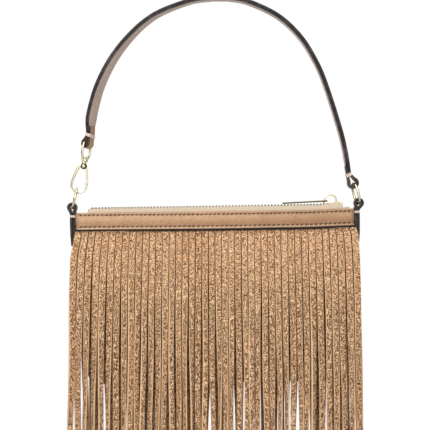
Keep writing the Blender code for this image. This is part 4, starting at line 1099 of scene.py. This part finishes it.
def sideTab(side):
    word = "left" if side < 0 else "right"
    values = tabValues
    low = boxInBag("side_tab_" + word)[0]
    foot = bagFrame.inverted() @ ringFrame(side)[0]
    inner = plan["halfWidth"] + values["seatGap"]
    centre = (abs(foot.x), foot.z + values["loopLift"])
    leather = values["leather"]
    loop = values["loopBore"] + leather / 2
    neck = centre[1] - loop - leather / 2 - values["neckDrop"]
    tip, tipThick = low.z, values["tipThick"] / 2
    layer = (values["thick"] - values["gap"]) / 2
    inX, outX = inner + layer / 2, inner + values["thick"] - layer / 2
    knots = [(inner + 2.5 * mm, tip + 0.4 * mm, tipThick), (inX + 0.9 * mm, tip + 6.0 * mm, layer * 0.8),
             (inX, tip + 14.0 * mm, layer), (inX, neck - 3.0 * mm, layer), (inX, neck, layer)]
    knots += [(x, z, leather) for x, z in arc(centre, loop, 222.0, -42.0, 12)]
    knots += [(outX, neck, layer), (outX, neck - 3.0 * mm, layer), (outX, tip + 17.0 * mm, layer),
              (inner + 3.5 * mm, tip + 8.0 * mm, layer * 0.8), (inner + 2.5 * mm + tipThick, tip, tipThick)]
    line = smoothRoute([Vector(knot) for knot in knots], 4)
    stations = []
    for i, knot in enumerate(line):
        before, after = line[max(i - 1, 0)], line[min(i + 1, len(line) - 1)]
        run = Vector((after.x - before.x, 0.0, after.y - before.y)).normalized()
        normal = Vector((run.z, 0.0, -run.x))
        stations.append((Vector((side * knot.x, 0.0, knot.y)), Vector((0, 1, 0)),
                         Vector((side * normal.x, 0.0, normal.z)), values["width"], knot.z))
    shape = Shape()
    rings = ribbonRings(stations, 0.3, 3)
    shape.loft(rings, kind=leatherOrPaint, tone=0.2)
    tab = shape.make("sideTab" + word.capitalize(), [strapLeather, edgePaint], bagFrame)
    seat(tab, "bag", "tab_leather", "side_tab_" + word)
    wrap = Shape()
    middle = Vector((side * (inner + values["thick"] / 2), 0, -values["wrapDrop"]))
    threadWrap(wrap, middle, Vector((0, 0, 1)), Vector((0, 1, 0)), Vector((1, 0, 0)), values["width"],
               values["thick"] - 0.3 * mm, values["wrapTurns"], values["thread"])
    made = wrap.make("tabThread" + word.capitalize(), [paleThread], bagFrame)
    return seat(made, "bag", "tab_leather")


for side in (-1, 1):
    ring(side)
    sideTab(side)
print("tabs and rings done")


# Strap

strapValues = {"width": 11.0 * mm, "endWidth": 7.0 * mm, "taper": 14.0 * mm, "outerThick": 2.0 * mm,
               "liningThick": 1.4 * mm, "gap": 0.06 * mm, "restHalf": 6.0 * mm, "twistLeft": 30.0,
               "leftShift": 2.3 * mm, "foldBack": 7.0 * mm,
               "neckLeftRise": 6.2 * mm, "neckRightRise": 6.4 * mm, "neckRightInset": 3.3 * mm,
               "ringOffset": (-0.4 * mm, 0.4 * mm), "eyeBore": 1.35 * mm, "ringBore": 1.9 * mm,
               "loopThick": 2.7 * mm, "wrapLower": 0.2 * mm,
               "legLeft": ((0.22, 0.022), (0.439, 0.101), (0.576, 0.188), (0.697, 0.305), (0.789, 0.421),
                           (0.859, 0.538), (0.913, 0.655), (0.951, 0.770), (0.982, 0.887)),
               "legRight": ((0.20, 0.018), (0.394, 0.079), (0.525, 0.147), (0.641, 0.239), (0.719, 0.330),
                            (0.781, 0.421), (0.828, 0.513), (0.869, 0.603), (0.908, 0.695), (0.944, 0.786),
                            (0.971, 0.877)),
               "thread": 0.26 * mm, "wrapTurns": 5}


def strapFaces(tangent, side, twist):  # width direction and inward normal
    inward = Vector((side * tangent.z, 0.0, -side * tangent.x))
    turn, front = math.radians(twist), Vector((0.0, 1.0, 0.0))
    return front * math.cos(turn) + inward * math.sin(turn), inward * math.cos(turn) - front * math.sin(turn)


def strapLeg(side):
    values = strapValues
    seam = values["liningThick"] + values["gap"] / 2
    if side < 0:
        centre = Vector(joints["eye_swing"]["pos_m"])
        neck = centre + Vector((0, 0, values["neckLeftRise"]))
        shift = values["leftShift"]
        shares, bore, twist = values["legLeft"], values["eyeBore"], values["twistLeft"]
    else:
        foot, middle = ringFrame(side)
        top = middle * 2 - foot
        centre = Vector((top.x + values["ringOffset"][0], 0.0, top.z + values["ringOffset"][1]))
        neck = centre + Vector((-values["neckRightInset"], 0, values["neckRightRise"]))
        shift = 0.0
        shares, bore, twist = values["legRight"], values["ringBore"], 0.0
    knots = [Vector((side * values["restHalf"], 0, seam))]
    knots += [Vector((neck.x * across + shift * down ** 6, 0, seam + (neck.z - seam) * down))
              for across, down in shares]
    neck = neck + Vector((shift, 0, 0))
    route = smoothRoute(knots + [neck], 8)
    lengths = [0.0]
    for first, second in zip(route, route[1:]):
        lengths.append(lengths[-1] + (second - first).length)
    stations = []
    for i, point in enumerate(route):
        before = route[i - 1] if i else Vector((0.0, 0.0, seam))
        after = route[i + 1] if i + 1 < len(route) else centre
        tangent = (after - before).normalized() if i else Vector((side, 0, 0))
        left = lengths[-1] - lengths[i]
        width = values["endWidth"]
        width += (values["width"] - values["endWidth"]) * ease(left, 1.0 * mm, values["taper"])
        across, normal = strapFaces(tangent, side, twist * ease(lengths[i] / lengths[-1], 0.0, 1.0))
        stations.append((point, across, normal, width))
    return stations, centre, bore + values["loopThick"] / 2, twist


def cutStations(stations, reach):  # the part above and the part below a place at a reach up from the neck
    climbed, last = 0.0, len(stations) - 1
    while True:
        step = (stations[last][0] - stations[last - 1][0]).length
        if climbed + step > reach:
            break
        climbed += step
        last -= 1
    share = (reach - climbed) / step
    lower, upper = stations[last], stations[last - 1]
    cut = tuple(a + (b - a) * share for a, b in zip(lower, upper))
    return stations[:last] + [cut], [cut] + stations[last:]


def strapOuter():
    values = strapValues
    offset = (values["outerThick"] + values["gap"]) / 2
    halves, wraps = [], Shape()
    for side in (-1, 1):
        stations, centre, radius, twist = strapLeg(side)
        rows = [(p - n * offset, a, n, w, values["outerThick"]) for p, a, n, w in stations]
        neck = stations[-1][0]
        down = (centre - neck).normalized()
        across, normal = strapFaces(down, side, twist)
        threadWrap(wraps, neck + down * values["wrapLower"], down, across, normal, values["endWidth"],
                   2 * offset + values["outerThick"], values["wrapTurns"], values["thread"])
        for step in range(19):
            angle = math.radians(222.0 - 264.0 * step / 18)
            spoke = normal * math.cos(angle) + down * math.sin(angle)
            rows.append((centre + spoke * radius, across, -spoke, values["endWidth"], values["loopThick"]))
        folded = cutStations(stations, values["foldBack"])[1]
        for p, a, n, _ in reversed(folded):
            rows.append((p + n * offset, a, -n, values["endWidth"], values["outerThick"]))
        halves.append(rows)
    joined = list(reversed(halves[0])) + halves[1]
    rings = ribbonRings(joined, 0.3, 3)
    shape = Shape()
    shape.loft(rings, kind=leatherOrPaint, tone=0.2)
    outer = shape.make("strapOuter", [strapLeather, edgePaint], levelFrame)
    seat(outer, "strap", "strap_leather", "strap_outer")
    threads = wraps.make("strapThread", [paleThread], levelFrame)
    return seat(threads, "strap", "strap_leather")


def strapLining():
    values = strapValues
    offset = (values["liningThick"] + values["gap"]) / 2
    halves = []
    for side in (-1, 1):
        kept = cutStations(strapLeg(side)[0], values["foldBack"] + values["gap"])[0]
        halves.append([(p + n * offset, a, n, w - 2 * values["gap"]) for p, a, n, w in kept])
    joined = list(reversed(halves[0])) + halves[1]
    rings = ribbonRings([(p, a, n, w, values["liningThick"]) for p, a, n, w in joined], 0.25, 3)
    shape = Shape()
    shape.loft(rings, kind=leatherOrPaint, tone=0.2)
    lining = shape.make("strapLining", [liningLeather, edgePaint], levelFrame)
    return seat(lining, "strap", "strap_lining", "strap_lining")


strapOuter()
strapLining()
print("strap done")


# Snap hook

eyeCentre = Vector(joints["eye_swing"]["pos_m"])
bossCentre = Vector(joints["gate_swing"]["pos_m"])
hookDown = (bossCentre - eyeCentre).normalized()
hookLean = math.atan2(-hookDown.x, -hookDown.z)
eyeFrame = Matrix.Translation(eyeCentre) @ Matrix.Rotation(hookLean, 4, "Y")
hookFrameMatrix = Matrix.Translation(bossCentre) @ Matrix.Rotation(hookLean, 4, "Y")
hookValues = {"eyeWire": 0.9 * mm, "eyeHalfWidth": 4.9 * mm, "hubDrop": 13.2 * mm, "hubRadius": 2.3 * mm,
              "hubHeight": 2.2 * mm, "stemRadius": 0.8 * mm, "stemHead": 1.7 * mm, "bossRadius": 2.4 * mm,
              "bossDepth": 3.8 * mm, "wire": 1.0 * mm, "gateThick": 1.0 * mm, "gateWidth": 1.4 * mm,
              "gateLength": 14.6 * mm, "rivet": 0.6 * mm, "rivetHead": 1.45 * mm, "clearance": 0.3 * mm,
              "body": ((-2.0, 0.6), (-3.9, -1.6), (-6.0, -8.2), (-7.2, -14.2), (-6.8, -17.6), (-4.4, -20.2),
                       (-1.0, -21.2), (2.2, -20.2), (4.2, -17.8), (4.6, -15.1))}


def hookEye():
    values = hookValues
    half, drop, hub = values["eyeHalfWidth"], values["hubDrop"], values["hubRadius"]
    knots = [(half - 1.2 * mm, 0.0), (half - 0.3 * mm, -0.5 * mm), (half, -1.6 * mm), (half, -drop * 0.62),
             (hub + 1.2 * mm, -drop * 0.85), (hub + 0.45 * mm, -drop), (hub + 0.3 * mm, -drop - 0.7 * mm)]
    points = [Vector((0.0, -y, z)) for y, z in reversed(knots)] + [Vector((0.0, y, z)) for y, z in knots]
    turn = Matrix.Rotation(-math.radians(strapValues["twistLeft"]), 4, "Z")
    line = [turn @ point for point in smoothRoute(points, 7)]
    shape = Shape()
    shape.loft(tubeRings(line, values["eyeWire"], 16))
    tall, bore = values["hubHeight"] / 2, values["stemRadius"] + values["clearance"]
    profile = [(bore, -tall * 0.9), (bore, tall * 0.9), (bore + 0.2 * mm, tall), (hub - 0.3 * mm, tall),
               (hub, tall * 0.72), (hub, tall * 0.25), (hub - 0.18 * mm, 0.0), (hub, -tall * 0.25),
               (hub, -tall * 0.72), (hub - 0.3 * mm, -tall), (bore + 0.2 * mm, -tall)]
    foot = Vector((0, 0, -drop))
    shape.loft(turnedRings(profile, Vector((0, 0, 1)), Vector((1, 0, 0)), foot, 32), closed=True)
    eye = shape.make("hookEye", [paleGold], eyeFrame)
    return seat(eye, "eye", "hardware", "hook_eye")


def hookBody():
    values = hookValues
    down = (bossCentre - eyeCentre).length
    hubTop = down - values["hubDrop"] + values["hubHeight"] / 2
    hubFoot = hubTop - values["hubHeight"]
    knots = [Vector((x * mm, 0.0, z * mm)) for x, z in values["body"]]
    shape = Shape()
    shape.loft(tubeRings(smoothRoute(knots, 9),
                         lambda share: values["wire"] * (1.08 - 0.46 * ease(share, 0.05, 0.6)), 18))
    deep, boss = values["bossDepth"] / 2, values["bossRadius"]
    slot = values["gateThick"] / 2 + values["clearance"]
    for side in (-1, 1):  # two cheeks of the fork, in dark gold as painted shade
        profile = [(0.0, slot), (boss - 0.2 * mm, slot), (boss, slot + 0.2 * mm), (boss, deep - 0.3 * mm),
                   (boss - 0.3 * mm, deep), (1.5 * mm, deep + 0.03 * mm), (0.0, deep + 0.03 * mm)]
        shape.loft(turnedRings([(radius, side * height) for radius, height in profile],
                               Vector((0, 1, 0)), Vector((1, 0, 0)), Vector((0, 0, 0)), 32), kind=1)
    bridge = [(Vector((-1.15 * mm, 0.0, z * mm)), Vector((0, 1, 0)), Vector((1, 0, 0)), 2 * deep * scale,
               1.5 * mm) for z, scale in ((-1.7, 0.9), (0.0, 1.0), (1.3, 1.0), (2.2, 0.85))]
    shape.loft(ribbonRings(bridge, 0.4, 3))
    head, stem, gap = values["stemHead"], values["stemRadius"], values["clearance"]
    over, below = hubTop + gap, hubFoot - gap
    profile = [(0.0, over + 1.35 * mm), (0.6 * head, over + 1.3 * mm), (0.9 * head, over + 1.0 * mm),
               (head, over + 0.6 * mm), (head, over), (stem, over), (stem, below), (head * 0.9, below),
               (head, below - 0.3 * mm), (head, 1.9 * mm), (head * 0.8, 1.4 * mm), (0.0, 1.4 * mm)]
    shape.loft(turnedRings(profile, Vector((0, 0, 1)), Vector((1, 0, 0)), Vector((0, 0, 0)), 28))
    body = shape.make("hookBody", [paleGold, shadedGold], hookFrameMatrix)
    return seat(body, "hook", "hardware", "hook_frame")


def hookGate():
    values = hookValues
    outer, foot = values["rivet"] + values["clearance"] + 0.6 * mm, -values["gateLength"]
    outline = arc((0.0, 0.0), outer, 250.0, 40.0, 14)
    outline += [(2.9 * mm, -0.4 * mm), (3.35 * mm, -1.4 * mm), (3.6 * mm, -2.8 * mm),
                (5.0 * mm, foot + 3.8 * mm),
                (5.35 * mm, foot + 3.2 * mm), (5.5 * mm, foot + 0.5 * mm), (5.2 * mm, foot), (3.8 * mm, foot),
                (3.5 * mm, foot + 0.5 * mm), (3.3 * mm, foot + 2.8 * mm), (3.6 * mm, foot + 3.5 * mm),
                (5.0 * mm - values["gateWidth"], foot + 4.6 * mm), (2.0 * mm, -2.8 * mm)]
    hole = arc((0.0, 0.0), values["rivet"] + values["clearance"], 0.0, 345.0, 23)
    turn = hookFrameMatrix @ Matrix.Rotation(math.radians(90.0), 4, "X")
    gate = roundedPlate("hookGate", [outline, hole], values["gateThick"], 0.28 * mm, [paleGold], turn)
    return seat(gate, "gate", "hardware", "hook_gate")


def gateRivet():
    values = hookValues
    face = values["bossDepth"] / 2 + 0.05 * mm
    pin, head = values["rivet"], values["rivetHead"]
    half = [(0.0, face + 0.75 * mm), (0.35 * head, face + 0.72 * mm), (0.75 * head, face + 0.5 * mm),
            (head, face + 0.2 * mm), (head, face), (pin, face)]
    profile = half + [(radius, -height) for radius, height in reversed(half)]
    shape = Shape()
    shape.loft(turnedRings(profile, Vector((0, 1, 0)), Vector((1, 0, 0)), Vector((0, 0, 0)), 24))
    rivet = shape.make("gateRivet", [paleGold], hookFrameMatrix)
    return seat(rivet, "hook", "hardware", "gate_rivet")


hookEye()
hookBody()
hookGate()
gateRivet()
print("snap hook done")


# Backdrop, light and camera

studio = {"photoSpan": 335.4 * mm, "distance": 950.0 * mm, "middleX": -3.9 * mm, "middleZ": -167.3 * mm,
          "film": 36.0, "floorDrop": 80.0 * mm, "floorSize": 6.0, "floorGrey": 0.9, "worldLight": 0.4}
lamps = {"keyLight": ((-0.5, -1.1, 0.45), 0.8, 9.5), "fillLight": ((0.8, -0.9, -0.1), 1.0, 3.0),
         "topLight": ((0.0, -0.2, 0.9), 0.9, 3.5)}


def whiteForCamera(tree, background, plain):  # white behind, darker room sides in the metal
    path = tree.nodes.new("ShaderNodeLightPath")
    direction = tree.nodes.new("ShaderNodeTexCoord")
    axes = tree.nodes.new("ShaderNodeSeparateXYZ")
    tree.links.new(direction.outputs["Generated"], axes.inputs["Vector"])
    aside = ramp(tree, mathNode(tree, "ABSOLUTE", axes.outputs["X"], 0.0), 0.5, 0.8)
    room = mathNode(tree, "SUBTRACT", 1.0, mathNode(tree, "MULTIPLY", aside, 0.9))
    seen = mathNode(tree, "MAXIMUM", path.outputs["Is Camera Ray"], path.outputs["Is Transmission Ray"])
    others = mathNode(tree, "MAXIMUM", seen, plain)
    mirror = mathNode(tree, "MULTIPLY", path.outputs["Is Glossy Ray"], room)
    rest = mathNode(tree, "MULTIPLY", mathNode(tree, "SUBTRACT", 1.0, path.outputs["Is Glossy Ray"]), others)
    tree.links.new(mathNode(tree, "ADD", mirror, rest), background.inputs["Strength"])


def backdrop():
    world = bpy.data.worlds.new("studioWorld")
    bpy.context.scene.world = world
    world.use_nodes = True
    sky = world.node_tree.nodes["Background"]
    sky.inputs["Color"].default_value = (1.0, 1.0, 1.0, 1.0)
    whiteForCamera(world.node_tree, sky, studio["worldLight"])
    material = bpy.data.materials.new("paleFloor")
    material.use_nodes = True
    tree = material.node_tree
    shader = tree.nodes["Principled BSDF"]
    grey = studio["floorGrey"]
    shader.inputs["Base Color"].default_value = (grey, grey, grey, 1.0)
    shader.inputs["Roughness"].default_value = 0.9
    path = tree.nodes.new("ShaderNodeLightPath")
    glow = tree.nodes.new("ShaderNodeEmission")
    blend = tree.nodes.new("ShaderNodeMixShader")
    seen = mathNode(tree, "MAXIMUM", path.outputs["Is Camera Ray"], path.outputs["Is Transmission Ray"])
    tree.links.new(seen, blend.inputs["Fac"])
    tree.links.new(shader.outputs["BSDF"], blend.inputs[1])
    tree.links.new(glow.outputs["Emission"], blend.inputs[2])
    tree.links.new(blend.outputs["Shader"], tree.nodes["Material Output"].inputs["Surface"])
    bpy.ops.mesh.primitive_plane_add(size=studio["floorSize"],
                                     location=(0.0, 0.0, loadedLow.z - studio["floorDrop"]))
    floor = bpy.context.object
    floor.name = "floor"
    floor.data.materials.append(material)


def softLight(name, place, target, size, power):
    lamp = bpy.data.lights.new(name, "AREA")
    lamp.size = size
    lamp.energy = power
    obj = bpy.data.objects.new(name, lamp)
    bpy.context.scene.collection.objects.link(obj)
    obj.location = place
    obj.rotation_euler = (Vector(target) - Vector(place)).to_track_quat("-Z", "Y").to_euler()


def camera():
    data = bpy.data.cameras.new("photoCamera")
    data.sensor_width = studio["film"]
    data.lens = studio["film"] / 2 / (studio["photoSpan"] / 2 / studio["distance"])
    obj = bpy.data.objects.new("photoCamera", data)
    bpy.context.scene.collection.objects.link(obj)
    obj.location = (studio["middleX"], -studio["distance"], studio["middleZ"])
    obj.rotation_euler = (math.radians(90.0), 0.0, 0.0)
    bpy.context.scene.camera = obj


bpy.context.scene.view_settings.view_transform = "Standard"
backdrop()
middle = (studio["middleX"], 0.0, studio["middleZ"])
for name, (place, size, power) in lamps.items():
    softLight(name, place, middle, size, power)
camera()
print("scene done")
